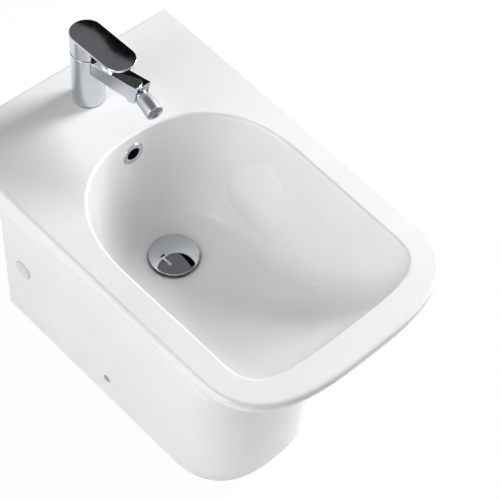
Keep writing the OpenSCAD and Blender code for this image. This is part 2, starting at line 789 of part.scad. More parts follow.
module cartridge_core() {
    slot_half = stem_w / 2 + free_gap;
    slot_front = 7.4;
    slot_rear = 5;
    slot_floor_t = 3;
    color([0.75, 0.76, 0.78])
    at_tap(0) difference() {
        translate([0, 0, core_low_h]) cylinder(r = core_r, h = core_top_h - core_low_h);
        block([-slot_half, slot_half], [-slot_front, slot_rear],
              [core_low_h + slot_floor_t, core_top_h + through]);
        translate([-core_r - through, 0, pivot_h]) rotate([0, quarter, 0])
            cylinder(r = pivot_pin_r, h = 2 * core_r + 2 * through);
    }
}
module stem_pivot_pin() {
    color("gray")
    at_tap(pivot_h) translate([-core_r + eps, 0, 0]) rotate([0, quarter, 0])
        cylinder(r = pivot_pin_r, h = 2 * core_r - 2 * eps);
}
module lever_stem() {
    color("goldenrod")
    at_tap(pivot_h) difference() {
        block([-stem_w / 2, stem_w / 2], [-stem_w / 2, stem_w / 2], [-stem_low_l, stem_high_l]);
        translate([-stem_w, 0, 0]) rotate([0, quarter, 0])
            cylinder(r = pivot_pin_r + fit_gap, h = 2 * stem_w);
    }
}
module cartridge_nut() {
    color("goldenrod")
    at_tap(housing_top_h) ring(bore_top_r - fit_gap, core_r + free_gap, nut_t);
}
slip_ring_step = 1;
module slip_ring() {
    color([0.08, 0.08, 0.08])
    at_tap(tap_h) ring(tap_r - slip_ring_step, bore_top_r - eps, slip_ring_t);
}

// The lever: a hollow hub with a long round ended plate on it
plate_sink = 1.1;
screw_drop = 5;
hub_boss_wall = 0.8;
screw_wall = 1.5;
plate_low_h = hub_low_h + hub_h - plate_sink;
screw_h = pivot_h + stem_high_l - screw_drop;
hub_boss_r = stem_w + hub_boss_wall;
screw_r = 2.5;
screw_l = 5.5;
hub_roof_h = pivot_h + stem_high_l;

module plate_outline() {
    circle(r = plate_r);
    translate([0, -plate_reach]) circle(r = plate_r);
    translate([-plate_r, -plate_reach]) square([2 * plate_r, plate_reach]);
}
module lever_handle() {
    relief_front = 2;
    relief_back = hub_r + through;
    hollow_h = screw_h - screw_r - screw_wall;
    color("silver")
    at_tap(0) difference() {
        union() {
            difference() {
                translate([0, 0, hub_low_h]) cylinder(r = hub_r, h = hub_h);
                difference() {
                    translate([0, 0, hub_low_h - through])
                        cylinder(r = hub_hollow_r, h = hub_roof_h - hub_low_h + through);
                    translate([0, 0, hollow_h]) cylinder(r = hub_boss_r, h = hub_roof_h);
                }
            }
            translate([0, 0, plate_low_h]) rotate([-plate_rise, 0, 0])
                linear_extrude(plate_t) plate_outline();
        }
        block([-stem_w / 2, stem_w / 2], [-stem_w / 2, stem_w / 2],
              [hub_low_h - through, hub_roof_h]);
        translate([0, 0, screw_h]) rotate([-quarter, 0, 0])
            cylinder(r = screw_r, h = hub_r + through);
        translate([hub_r + through, 0, hub_low_h]) rotate([quarter, 0, -quarter])
            linear_extrude(2 * (hub_r + through)) polygon([
                [relief_front, 0], [relief_front, -through], [-relief_back, -through],
                [-relief_back, (relief_front + relief_back) * tan(relief_tilt)]]);
    }
}
module handle_screw() {
    color("gray")
    at_tap(screw_h) translate([0, stem_w / 2, 0]) rotate([-quarter, 0, 0])
        cylinder(r = screw_r, h = screw_l);
}
module handle_plug() {
    plug_t = hub_r - hub_hollow_r;
    color([0.25, 0.26, 0.28])
    at_tap(screw_h) translate([0, hub_hollow_r, 0]) rotate([-quarter, 0, 0])
        cylinder(r = screw_r, h = plug_t - slip_gap);
}

// The swivel ball in the end of the spout, and the nozzle on it
cup_cut = 4;
module ball_cup() {
    color([0.88, 0.88, 0.85])
    face_frame() difference() {
        sphere(r = ball_r + fit_gap + ball_cup_t);
        sphere(r = ball_r + fit_gap);
        translate([0, 0, -cup_cut]) cylinder(r = 2 * ball_r, h = 2 * ball_r);
        translate([0, 0, -2 * ball_r]) cylinder(r = waterway_r, h = 2 * ball_r);
    }
}
module ball_retainer() {
    color([0.12, 0.12, 0.13])
    face_frame() difference() {
        translate([0, 0, eps]) cylinder(r = pocket_r, h = face_out - slip_gap - eps);
        sphere(r = ball_r + 3 * fit_gap);
    }
}
shank_l = 7;
module swivel_ball() {
    color("silver")
    nozzle_frame() difference() {
        union() {
            sphere(r = ball_r);
            cylinder(r = neck_r, h = nozzle_gap + shank_l);
        }
        translate([0, 0, -2 * ball_r]) cylinder(r = passage_r, h = 4 * ball_r);
    }
}
module nozzle_shell() {
    edge = 1.2;
    back_t = 8;
    color("silver")
    nozzle_frame() translate([0, 0, nozzle_gap]) rotate_extrude() polygon([
        [neck_r, 0],
        [nozzle_rear_r - edge, 0],
        [nozzle_rear_r, edge],
        [nozzle_mouth_r, nozzle_l - edge / 2],
        [nozzle_mouth_r - edge / 2, nozzle_l],
        [chamber_r, nozzle_l],
        [chamber_r, back_t],
        [neck_r, back_t]]);
}
insert_l = 10;
insert_recess = 2.2;
module aerator_insert() {
    holes = 8;
    color([0.3, 0.31, 0.33])
    nozzle_frame() translate([0, 0, nozzle_gap + nozzle_l - insert_recess - insert_l])
    difference() {
        cylinder(r = chamber_r - fit_gap, h = insert_l);
        for (k = [0 : holes - 1]) rotate([0, 0, 2 * quarter * 2 * k / holes])
            translate([chamber_r * 2 / 3, 0, -through])
            cylinder(r = passage_r / 2, h = insert_l + 2 * through);
    }
}
module aerator_screen() {
    screen_t = 0.8;
    reach = 3;
    color([0.15, 0.16, 0.17])
    nozzle_frame() translate([0, 0, nozzle_gap + nozzle_l - insert_recess])
    difference() {
        cylinder(r = chamber_r - fit_gap, h = screen_t);
        for (i = [-reach : reach], j = [-reach : reach])
            if (norm([i, j]) < reach + 0.7)
                translate([i * screen_pitch - screen_hole / 2,
                           j * screen_pitch - screen_hole / 2, -through])
                    cube([screen_hole, screen_hole, screen_t + 2 * through]);
    }
}

// What holds the tap from below the deck
clamp_lip = 4;
clamp_slot_half = tap_hole_r - clamp_lip;
stud_end_gap = 1;
module fixing_stud() {
    color("gray")
    at_tap(gasket_t - stud_l) translate([0, stud_back, 0])
        cylinder(r = stud_r, h = stud_l + inlet_l - stud_end_gap);
}
module clamp_shape(t) {
    difference() {
        cylinder(r = clamp_r, h = t);
        translate([0, stud_back, -through]) cylinder(r = stud_r + slip_gap, h = t + 2 * through);
        block([-clamp_slot_half, clamp_slot_half], [-clamp_r - through, inlet_r],
              [-through, t + through]);
    }
}
module clamp_seal() {
    color([0.1, 0.1, 0.1]) at_tap(-deck_t - clamp_seal_t) clamp_shape(clamp_seal_t);
}
module clamp_plate() {
    color("gray") at_tap(-deck_t - clamp_seal_t - clamp_t) clamp_shape(clamp_t);
}
module stud_nut() {
    color("goldenrod")
    at_tap(-deck_t - clamp_seal_t - clamp_t - stud_nut_t) translate([0, stud_back, 0])
    difference() {
        cylinder(r = stud_nut_r, h = stud_nut_t, $fn = 6);
        translate([0, 0, -through]) cylinder(r = stud_r, h = stud_nut_t + 2 * through);
    }
}

// The click waste
flange_low_h = waste_seat_h + flange_seal_t;
flange_top_h = flange_low_h + flange_t;
tube_low_h = flange_low_h - waste_tube_l;
tube_in_r = waste_tube_r - waste_tube_wall;
guide_h = flange_top_h - guide_drop - guide_t;
cap_low_h = basin_floor_h + cap_lift;
slot_h = duct_low + duct_d / 2;
seal_step = 1;

module waste_body() {
    color("silver")
    difference() {
        union() {
            at_waste(flange_low_h) cylinder(r = flange_r, h = flange_t);
            at_waste(tube_low_h) cylinder(r = waste_tube_r, h = waste_tube_l + eps);
        }
        at_waste(tube_low_h - through)
            cylinder(r = tube_in_r, h = waste_tube_l + flange_t + 2 * through);
        at_waste(slot_h) for (turn = [0, quarter]) rotate([0, quarter, turn])
            translate([0, 0, -flange_r]) cylinder(r = slot_r, h = 2 * flange_r);
    }
}
module flange_seal() {
    color([0.1, 0.1, 0.1])
    at_waste(waste_seat_h) ring(flange_r - seal_step, waste_hole_r, flange_seal_t);
}
module under_seal() {
    color([0.1, 0.1, 0.1])
    at_waste(waste_under_h - under_seal_t)
        ring(boss_r - 4 * seal_step, waste_tube_r + fit_gap, under_seal_t);
}
module back_nut() {
    color([0.85, 0.85, 0.83])
    at_waste(waste_under_h - under_seal_t - back_nut_t) difference() {
        cylinder(r = back_nut_r, h = back_nut_t, $fn = 6);
        translate([0, 0, -through])
            cylinder(r = waste_tube_r + fit_gap, h = back_nut_t + 2 * through);
    }
}
module plunger_guide() {
    hub_wall = 3;
    rim_wall = 2;
    arm_w = 3;
    arm_drop = 2;
    color([0.85, 0.85, 0.83])
    at_waste(guide_h) difference() {
        union() {
            ring(tube_in_r, tube_in_r - rim_wall, guide_t);
            cylinder(r = plunger_r + hub_wall, h = guide_t);
            for (turn = [0, 2 * quarter / 3, 4 * quarter / 3]) rotate([0, 0, turn + quarter / 3])
                block([rim_wall / 2 - tube_in_r, tube_in_r - rim_wall / 2],
                      [-arm_w / 2, arm_w / 2], [0, guide_t - arm_drop]);
        }
        translate([0, 0, -through]) cylinder(r = plunger_r + fit_gap, h = guide_t + 2 * through);
    }
}
plunger_top_h = cap_low_h + cap_edge_h;
collar_drop = 15;
collar_t = 2;
collar_h = plunger_top_h - collar_drop;
module plunger_spring() {
    color("gray")
    at_waste(guide_h + guide_t)
        ring(collar_r - seal_step, plunger_r + 2 * free_gap, collar_h - guide_h - guide_t);
}
module cap_plunger() {
    color([0.85, 0.85, 0.83]) {
        at_waste(plunger_top_h - plunger_l) cylinder(r = plunger_r, h = plunger_l);
        at_waste(collar_h) cylinder(r = collar_r, h = collar_t);
    }
}
dome_r = (cap_r * cap_r + cap_dome_h * cap_dome_h) / (2 * cap_dome_h);
module waste_cap() {
    skin_t = cap_edge_h;
    rim_wall = 1;
    seal_land = 5;
    color("silver")
    at_waste(cap_low_h) difference() {
        intersection() {
            cylinder(r = cap_r, h = cap_edge_h + cap_dome_h + 1);
            translate([0, 0, cap_edge_h + cap_dome_h - dome_r]) sphere(r = dome_r);
        }
        difference() {
            intersection() {
                translate([0, 0, -through])
                    cylinder(r = cap_r - 2 * rim_wall, h = cap_dome_h + through);
                translate([0, 0, cap_edge_h + cap_dome_h - skin_t - dome_r]) sphere(r = dome_r);
            }
            cylinder(r = collar_r, h = cap_dome_h);
            ring(cap_r - rim_wall, cap_r - rim_wall - seal_land, 1.5 * cap_edge_h);
        }
        translate([0, 0, -through]) cylinder(r = plunger_r, h = cap_edge_h + through);
    }
}
cap_seal_step = 2.2;
cap_seal_w = 3.6;
module cap_seal() {
    color([0.1, 0.1, 0.1])
    at_waste(cap_low_h - cap_seal_t)
        ring(cap_r - cap_seal_step, cap_r - cap_seal_step - cap_seal_w, cap_seal_t);
}

// The bottle trap and the pipe to the wall
trap_top_h = outlet_h + trap_high;
trap_low_h = outlet_h - trap_low;
spigot_r = pipe_r + trap_seal_t;
spigot_l = 14;
inlet_overlap = 8;
inlet_high_h = tube_low_h + inlet_overlap;
nut_lip_t = 3;
cup_overlap = 12;
pipe_below_trap = 2;

module at_outlet(run) {
    translate([0, run - waste_back, outlet_h]) rotate([-quarter, 0, 0]) children();
}
module trap_inlet_pipe() {
    color([0.9, 0.9, 0.9])
    at_waste(trap_low_h - pipe_below_trap)
        ring(pipe_r, pipe_r - pipe_wall, inlet_high_h - trap_low_h + pipe_below_trap);
}
module trap_inlet_seal() {
    color([0.1, 0.1, 0.1])
    at_waste(tube_low_h - trap_seal_t) ring(waste_tube_r, pipe_r, trap_seal_t);
}
module trap_inlet_nut() {
    color([0.9, 0.9, 0.9])
    at_waste(tube_low_h - trap_seal_t - nut_lip_t) difference() {
        cylinder(r = waste_tube_r + trap_nut_wall, h = trap_nut_h);
        translate([0, 0, -through]) cylinder(r = pipe_r + slip_gap, h = trap_nut_h);
        translate([0, 0, nut_lip_t]) cylinder(r = waste_tube_r + fit_gap, h = trap_nut_h);
    }
}
module trap_body() {
    color([0.9, 0.9, 0.9])
    difference() {
        union() {
            at_waste(trap_low_h) cylinder(r = trap_r, h = trap_top_h - trap_low_h);
            at_waste(trap_top_h - eps) cylinder(r = spigot_r + trap_wall, h = spigot_l);
            at_outlet(0) cylinder(r = spigot_r + trap_wall, h = trap_r + spigot_l);
        }
        at_waste(trap_low_h - through)
            cylinder(r = trap_r - trap_wall, h = trap_top_h - trap_low_h + through - trap_wall);
        at_waste(trap_low_h) cylinder(r = pipe_r + slip_gap, h = 2 * outlet_h);
        at_outlet(0) cylinder(r = pipe_r - pipe_wall, h = trap_r + 2 * spigot_l);
        at_outlet(trap_r) cylinder(r = pipe_r + slip_gap, h = 2 * spigot_l);
    }
}
module trap_seal() { ring(spigot_r + trap_wall, pipe_r + slip_gap / 2, trap_seal_t); }
module trap_nut() {
    difference() {
        cylinder(r = spigot_r + trap_wall + trap_nut_wall, h = trap_nut_h);
        translate([0, 0, -through])
            cylinder(r = spigot_r + trap_wall + fit_gap, h = trap_nut_h + through - nut_lip_t);
        cylinder(r = pipe_r + slip_gap, h = 2 * trap_nut_h);
    }
}
nut_back = trap_nut_h - nut_lip_t - trap_seal_t;
module trap_top_seal() {
    color([0.1, 0.1, 0.1]) at_waste(trap_top_h - eps + spigot_l) trap_seal();
}
module trap_top_nut() {
    color([0.9, 0.9, 0.9]) at_waste(trap_top_h - eps + spigot_l - nut_back) trap_nut();
}
module trap_cup() {
    floor_t = 3;
    color([0.9, 0.9, 0.9])
    at_waste(trap_low_h + cup_overlap - cup_h) difference() {
        cylinder(r = cup_r, h = cup_h);
        translate([0, 0, cup_h - cup_overlap]) cylinder(r = trap_r + fit_gap, h = cup_h);
        translate([0, 0, floor_t]) cylinder(r = trap_r - trap_wall, h = cup_h);
    }
}
module outlet_pipe() {
    color([0.9, 0.9, 0.9])
    difference() {
        union() {
            at_outlet(trap_r + eps) cylinder(r = pipe_r, h = waste_back - trap_r - eps);
            at_outlet(waste_back - outlet_free_l - stop_bead_w)
                cylinder(r = pipe_r + stop_bead_h, h = stop_bead_w);
        }
        at_outlet(0) cylinder(r = pipe_r - pipe_wall, h = waste_back + through);
    }
}
module trap_outlet_seal() {
    color([0.1, 0.1, 0.1]) at_outlet(trap_r + spigot_l) trap_seal();
}
module trap_outlet_nut() {
    color([0.9, 0.9, 0.9]) at_outlet(trap_r + spigot_l - nut_back) trap_nut();
}

ceramic_body();
overflow_ring();
access_cover_left();
access_cover_right();
tap_gasket();
tap_body();
cartridge_housing();
fixed_disc();
moving_disc();
cartridge_core();
stem_pivot_pin();
lever_stem();
cartridge_nut();
slip_ring();
lever_handle();
handle_screw();
handle_plug();
ball_cup();
ball_retainer();
swivel_ball();
nozzle_shell();
aerator_insert();
aerator_screen();
fixing_stud();
clamp_seal();
clamp_plate();
stud_nut();
waste_body();
flange_seal();
under_seal();
back_nut();
plunger_guide();
plunger_spring();
cap_plunger();
waste_cap();
cap_seal();
trap_inlet_pipe();
trap_inlet_seal();
trap_inlet_nut();
trap_body();
trap_top_seal();
trap_top_nut();
trap_cup();
outlet_pipe();
trap_outlet_seal();
trap_outlet_nut();
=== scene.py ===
import math

import bmesh
import bpy
from mathutils import Matrix, Vector


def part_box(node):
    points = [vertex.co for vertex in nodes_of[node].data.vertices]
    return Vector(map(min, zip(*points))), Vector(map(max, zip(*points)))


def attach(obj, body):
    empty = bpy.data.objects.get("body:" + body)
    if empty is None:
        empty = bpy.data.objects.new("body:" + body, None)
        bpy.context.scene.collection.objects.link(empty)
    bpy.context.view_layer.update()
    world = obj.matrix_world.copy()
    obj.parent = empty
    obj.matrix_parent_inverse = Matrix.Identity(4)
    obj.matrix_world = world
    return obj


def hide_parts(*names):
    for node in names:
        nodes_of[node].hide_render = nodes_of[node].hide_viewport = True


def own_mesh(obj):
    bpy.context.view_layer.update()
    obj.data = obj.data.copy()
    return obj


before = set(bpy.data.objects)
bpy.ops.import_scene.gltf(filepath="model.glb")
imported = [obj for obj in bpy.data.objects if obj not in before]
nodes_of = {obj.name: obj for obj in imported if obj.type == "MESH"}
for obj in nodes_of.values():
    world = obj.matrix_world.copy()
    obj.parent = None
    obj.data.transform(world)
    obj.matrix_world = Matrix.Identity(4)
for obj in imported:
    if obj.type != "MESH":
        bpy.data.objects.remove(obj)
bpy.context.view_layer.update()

# The body is vitreous china: slip cast in one piece with its hollow pedestal, glazed
# all over and fired once. The glaze draws a soft radius round every edge and dries to
# a wet, even shine. It stands on the floor with its back to the wall.
RIM_H = 400.0
RIM_W_REAR, RIM_W_FRONT, RIM_SIDE, RIM_CURVE = 347.0, 334.0, 431.0, 111.0
RIM_SQUARE, RIM_EDGE = 3.0, 5.0
FOOT_W_REAR, FOOT_W_FRONT, FOOT_SIDE, FOOT_CURVE = 221.0, 204.8, 330.1, 96.4
FOOT_SQUARE, FOOT_EDGE, WALL_CORNER = 2.55, 6.0, 3.0
BAND_REAR, BAND_SIDE, LIP_FRONT = 50.0, 14.0, 13.0
FLARE_REAR, FLARE_SIDE, FLARE_FRONT = 110.0, 125.0, 190.0
SIDE_TURN, FRONT_TURN = 1.8, 1.3
BAND_RUN, FLARE_FADE, LIP_FADE = 330.0, (60.0, 310.0), (0.75, 1.4)
WALL, DECK = 12.0, 14.0
BASIN_W, BASIN_REAR, BASIN_MID, BASIN_FRONT = 268.0, 140.5, 290.0, 502.2
BASIN_W_FRONT, BASIN_CURVE, BASIN_EDGE, BASIN_FLOOR = 262.0, 72.0, 4.0, 238.0
REAR_SQUARE, FRONT_SQUARE, LOW_SQUARE, SQUARE_RISE = 2.35, 4.0, 2.1, 0.6
ROUND_REAR, ROUND_SIDE, ROUND_FRONT = 2.2, 2.1, 1.62
WASTE_BACK, RECESS_R, RECESS_D, WASTE_R = 219.0, 34.0, 5.5, 23.0
BOWL_START, BOSS_R, BORE_L = 40.0, 36.0, 27.0
TAP_BACK, TAP_HOLE = 58.0, 17.5
BLUR, SMALL_RISE, FLAT_START, FLARE_MARGIN = 3.0, 0.02, 0.8, 10.0
CEILING_FADE_FROM, CEILING_FADE_RUN, CEILING_STEP = 0.62, 0.38, 10.0

# The outline is numbered from the wall's middle round to the front's middle.
CORNER_AT, REAR_AT, SIDE_AT, LAST = 2, 10, 14, 24
FINE = 5
HALF = LAST * FINE

# Lengths are in millimetres, and become metres where a mesh is made.
MM, PER_METRE = 0.001, 1000.0
SAME_POINT, WELD_WITHIN, SMOOTH_TO = 1e-6, 4e-6, 35.0
ROD_STEPS, ROUND_STEPS, FINE_STEPS = 64, 96, 128


def ease(t):
    c = min(1.0, max(0.0, t))
    return c * c * (3 - 2 * c)


def mix(a, b, t):
    return a + (b - a) * t


def quarter(k, steps):
    a = math.pi / 2 * k / steps
    return 1 - math.cos(a), 1 - math.sin(a)


def super_point(a, b, n, degrees):
    angle = math.radians(degrees)
    return a * abs(math.cos(angle)) ** (2 / n), b * abs(math.sin(angle)) ** (2 / n)


def side_share(i):
    k, rear = i - CORNER_AT, BASIN_MID / RIM_SIDE
    steps = REAR_AT - CORNER_AT
    if k <= steps:
        return rear * k / steps
    return mix(rear, 1, (k - steps) / (SIDE_AT - REAR_AT))


def progress(i):
    if i <= CORNER_AT:
        return 0.0
    return side_share(i) if i <= SIDE_AT else 1 + (i - SIDE_AT) / (LAST - SIDE_AT)


def half_point(i, w_rear, w_front, side, curve, n):
    if i < 1:
        return (w_rear / 2 - WALL_CORNER) * i, 0.0
    if i < CORNER_AT:
        turn = math.pi / 2 * (i - 1)
        return (
            w_rear / 2 - WALL_CORNER * (1 - math.sin(turn)),
            -WALL_CORNER * (1 - math.cos(turn)),
        )
    if i <= SIDE_AT:
        t = side_share(i)
        return mix(w_rear, w_front, t) / 2, -mix(WALL_CORNER, side, t)
    x, y = super_point(w_front / 2, curve, n, 90 * (i - SIDE_AT) / (LAST - SIDE_AT))
    return x, -side - y


def opening_point(i):
    if i <= REAR_AT:
        x, y = super_point(
            BASIN_W / 2, BASIN_MID - BASIN_REAR, REAR_SQUARE, 90 * (1 - i / REAR_AT)
        )
        return x, y - BASIN_MID
    side_end = BASIN_FRONT - BASIN_CURVE
    if i <= SIDE_AT:
        t = (i - REAR_AT) / (SIDE_AT - REAR_AT)
        return mix(BASIN_W, BASIN_W_FRONT, t) / 2, -mix(BASIN_MID, side_end, t)
    turn = 90 * (i - SIDE_AT) / (LAST - SIDE_AT)
    x, y = super_point(BASIN_W_FRONT / 2, BASIN_CURVE, FRONT_SQUARE, turn)
    return x, -side_end - y


def low_point(i):
    if i <= REAR_AT:
        return opening_point(i)
    turn = 90 * (i - REAR_AT) / (LAST - REAR_AT)
    x, y = super_point(BASIN_W / 2, BASIN_FRONT - BASIN_MID, LOW_SQUARE, turn)
    return x, -BASIN_MID - y


def flare_at(i, z):
    q = progress(i)
    back = q * RIM_SIDE
    rear = 1 - ease((back - FLARE_FADE[0]) / (FLARE_FADE[1] - FLARE_FADE[0]))
    front = ease((q - LIP_FADE[0]) / (LIP_FADE[1] - LIP_FADE[0]))
    band = mix(mix(BAND_REAR, BAND_SIDE, ease(back / BAND_RUN)), LIP_FRONT, front)
    depth = mix(mix(FLARE_SIDE, FLARE_REAR, rear), FLARE_FRONT, front)
    t = min(1.0, max(0.0, (z - (RIM_H - band) + depth) / depth))
    return mix(t**SIDE_TURN, t**FRONT_TURN, front)


def outer_point(i, z):
    s = sum(flare_at(i, z + d) for d in (-BLUR, 0, BLUR)) / 3
    rim = half_point(i, RIM_W_REAR, RIM_W_FRONT, RIM_SIDE, RIM_CURVE, RIM_SQUARE)
    foot = half_point(i, FOOT_W_REAR, FOOT_W_FRONT, FOOT_SIDE, FOOT_CURVE, FOOT_SQUARE)
    return mix(foot[0], rim[0], s), mix(foot[1], rim[1], s), z


def bowl_point(i, h):
    low, high, t = low_point(i), opening_point(i), h**SQUARE_RISE
    x, y = mix(low[0], high[0], t), mix(low[1], high[1], t) + WASTE_BACK
    far, q = math.hypot(x, y), progress(i)
    n = mix(ROUND_REAR, ROUND_SIDE, ease(q))
    if q > 1:
        n = mix(ROUND_SIDE, ROUND_FRONT, ease(q - 1))
    r = mix(BOWL_START, far, (1 - (1 - h) ** n) ** (1 / n))
    top = RIM_H - BASIN_EDGE
    return x / far * r, y / far * r - WASTE_BACK, mix(BASIN_FLOOR, top, h)


def whole(point):
    half = [point(k / FINE) for k in range(HALF + 1)]
    return half + [(-x, y, z) for x, y, z in half[-2:0:-1]]


def grown(ring, by):
    count, out = len(ring), []
    for k, (x, y, z) in enumerate(ring):
        a, b = ring[k - 1], ring[(k + 1) % count]
        tx, ty = b[0] - a[0], b[1] - a[1]
        size = math.hypot(tx, ty)
        out.append((x - ty / size * by, y + tx / size * by, z))
    return out


def inset(ring, by):
    drawn, corner = grown(ring, -by), CORNER_AT * FINE
    side_x = drawn[corner][0]
    out = []
    for k, (x, y, z) in enumerate(drawn):
        if k < corner or k > len(ring) - corner:
            x = min(side_x, max(-side_x, x))
        out.append((x, min(y, -by), z))
    return out


def at_height(ring, z):
    return [(x, y, z) for x, y, _ in ring]


def inner_top(i):
    fade = ease((progress(i) - CEILING_FADE_FROM) / CEILING_FADE_RUN)
    return mix(RIM_H - DECK, BASIN_FLOOR + CEILING_STEP, fade)


def under_point(i, k):
    share = (inner_top(i) - BASIN_FLOOR) / (RIM_H - BASIN_EDGE - BASIN_FLOOR)
    h = share * (1 - math.sin(math.pi / 2 * k))
    low, high = bowl_point(i, max(0, h - SMALL_RISE)), bowl_point(i, min(1, h + SMALL_RISE))
    step = 1 / FINE
    a, b = bowl_point(max(0, i - step), h), bowl_point(min(LAST, i + step), h)
    tx, ty = b[0] - a[0], b[1] - a[1]
    if i <= 0 or i >= LAST:
        tx, ty = (1, 0) if i <= 0 else (-1, 0)
    size = math.hypot(tx, ty)
    ox, oy = -ty / size, tx / size
    run, rise = (high[0] - low[0]) * ox + (high[1] - low[1]) * oy, high[2] - low[2]
    slope = math.hypot(run, rise)
    x, y, z = bowl_point(i, h)
    out_x, out_y = ox * WALL * rise / slope, oy * WALL * rise / slope
    return x + out_x, y + out_y, z - WALL * run / slope


def add_piece(name, vertices, faces, smooth_to=SMOOTH_TO):
    mesh = bpy.data.meshes.new(name)
    tool = bmesh.new()
    points = [tool.verts.new(Vector(v) * MM) for v in vertices]
    for face in faces:
        tool.faces.new([points[k] for k in face])
    bmesh.ops.remove_doubles(tool, verts=tool.verts, dist=SAME_POINT)
    bmesh.ops.dissolve_degenerate(tool, edges=tool.edges, dist=SAME_POINT)
    bmesh.ops.recalc_face_normals(tool, faces=tool.faces)
    tool.to_mesh(mesh)
    tool.free()
    piece = bpy.data.objects.new(name, mesh)
    bpy.context.scene.collection.objects.link(piece)
    smooth(piece, smooth_to)
    return piece


def smooth(piece, up_to):
    piece.data.shade_smooth()
    piece.data.set_sharp_from_angle(angle=math.radians(up_to))


def skin(rings):
    count = len(rings[0])
    faces = []
    for r in range(len(rings) - 1):
        for k in range(count):
            a, b = r * count + k, r * count + (k + 1) % count
            faces.append((a, b, b + count, a + count))
    faces.append(tuple(range(count)))
    faces.append(tuple((len(rings) - 1) * count + k for k in range(count)))
    return [p for ring in rings for p in ring], faces


def turned(profile, place, segments=ROUND_STEPS, closed=False):
    vertices, rows, faces = [], [], []
    for r, z in profile:
        around = 1 if r < SAME_POINT else segments
        rows.append(list(range(len(vertices), len(vertices) + around)))
        for k in range(around):
            a = math.tau * k / segments
            vertices.append(place @ Vector((r * math.cos(a), r * math.sin(a), z)))
    for a, b in list(zip(rows, rows[1:])) + ([(rows[-1], rows[0])] if closed else []):
        for k in range(segments):
            n = (k + 1) % segments
            corners = (a[k % len(a)], a[n % len(a)], b[n % len(b)], b[k % len(b)])
            face = tuple(dict.fromkeys(corners))
            if len(face) > 2:
                faces.append(face)
    if not closed:
        faces += [tuple(row) for row in (rows[0], rows[-1]) if len(row) > 1]
    return vertices, faces


def combine(piece, others, operation, smooth_to=SMOOTH_TO):
    for other in others:
        step = piece.modifiers.new(other.name, "BOOLEAN")
        step.operation, step.solver, step.object = operation, "EXACT", other
    made = bpy.data.meshes.new_from_object(
        piece.evaluated_get(bpy.context.evaluated_depsgraph_get())
    )
    piece.modifiers.clear()
    piece.data = made
    for other in others:
        bpy.data.objects.remove(other)
    weld(piece)
    smooth(piece, smooth_to)


def weld(piece, within=WELD_WITHIN):
    tool = bmesh.new()
    tool.from_mesh(piece.data)
    bmesh.ops.remove_doubles(tool, verts=tool.verts, dist=within)
    bmesh.ops.dissolve_degenerate(tool, edges=tool.edges, dist=within)
    bmesh.ops.holes_fill(tool, edges=[e for e in tool.edges if e.is_boundary], sides=4)
    loose = [e for e in tool.edges if not e.link_faces]
    bmesh.ops.delete(tool, geom=loose, context="EDGES")
    tool.to_mesh(piece.data)
    tool.free()


# Large flat faces keep their own direction, and the eased edges round off between them.
def keep_flats(piece):
    step = piece.modifiers.new("flats", "WEIGHTED_NORMAL")
    step.weight, step.keep_sharp = 100, True
    made = bpy.data.meshes.new_from_object(
        piece.evaluated_get(bpy.context.evaluated_depsgraph_get())
    )
    piece.modifiers.clear()
    piece.data = made


def rod(name, radius, low, high, place):
    return add_piece(name, *turned([(radius, low), (radius, high)], place, ROD_STEPS))


def box_piece(name, x, y, z):
    corners = [(a, b, c) for c in z for b in y for a in x]
    sides = [(0, 1, 5, 4), (2, 3, 7, 6), (0, 2, 6, 4), (1, 3, 7, 5)]
    return add_piece(name, corners, [(0, 1, 3, 2), (4, 5, 7, 6), *sides])


def linear(code):
    out = []
    for k in (1, 3, 5):
        c = int(code[k : k + 2], 16) / 255
        out.append(c / 12.92 if c <= 0.04045 else ((c + 0.055) / 1.055) ** 2.4)
    return (*out, 1.0)


def add_node(tree, kind, inputs=None, links=None, **settings):
    made = tree.nodes.new(kind)
    for key, value in settings.items():
        setattr(made, key, value)
    for key, value in (inputs or {}).items():
        made.inputs[key].default_value = value
    for key, source in (links or {}).items():
        tree.links.new(source, made.inputs[key])
    return made


def start_material(name):
    made = bpy.data.materials.new(name)
    made.use_nodes = True
    made.node_tree.nodes.clear()
    return made, made.node_tree


def grain(tree, size_mm, detail=2.0):
    place = add_node(tree, "ShaderNodeTexCoord")
    return add_node(
        tree,
        "ShaderNodeTexNoise",
        {"Scale": PER_METRE / size_mm, "Detail": detail},
        {"Vector": place.outputs["Object"]},
    )


def between(tree, source, low, high):
    return add_node(
        tree,
        "ShaderNodeMapRange",
        {"From Min": 0.3, "From Max": 0.7, "To Min": low, "To Max": high},
        {"Value": source},
    ).outputs["Result"]


def two_tone(tree, source, low, high):
    ramp = add_node(tree, "ShaderNodeValToRGB", None, {"Fac": source})
    for stop, position, code in zip(ramp.color_ramp.elements, (0.3, 0.7), (low, high)):
        stop.position, stop.color = position, linear(code)
    return ramp.outputs["Color"]


def surface(tree, inputs, links):
    shader = add_node(tree, "ShaderNodeBsdfPrincipled", inputs, links)
    shown = {"Surface": shader.outputs["BSDF"]}
    add_node(tree, "ShaderNodeOutputMaterial", None, shown)


def plain_finish(name, grain_mm, inputs, tones, roughness):
    made, tree = start_material(name)
    noise = grain(tree, grain_mm).outputs["Fac"]
    colour, rough = two_tone(tree, noise, *tones), between(tree, noise, *roughness)
    surface(tree, inputs, {"Base Color": colour, "Roughness": rough})
    return made


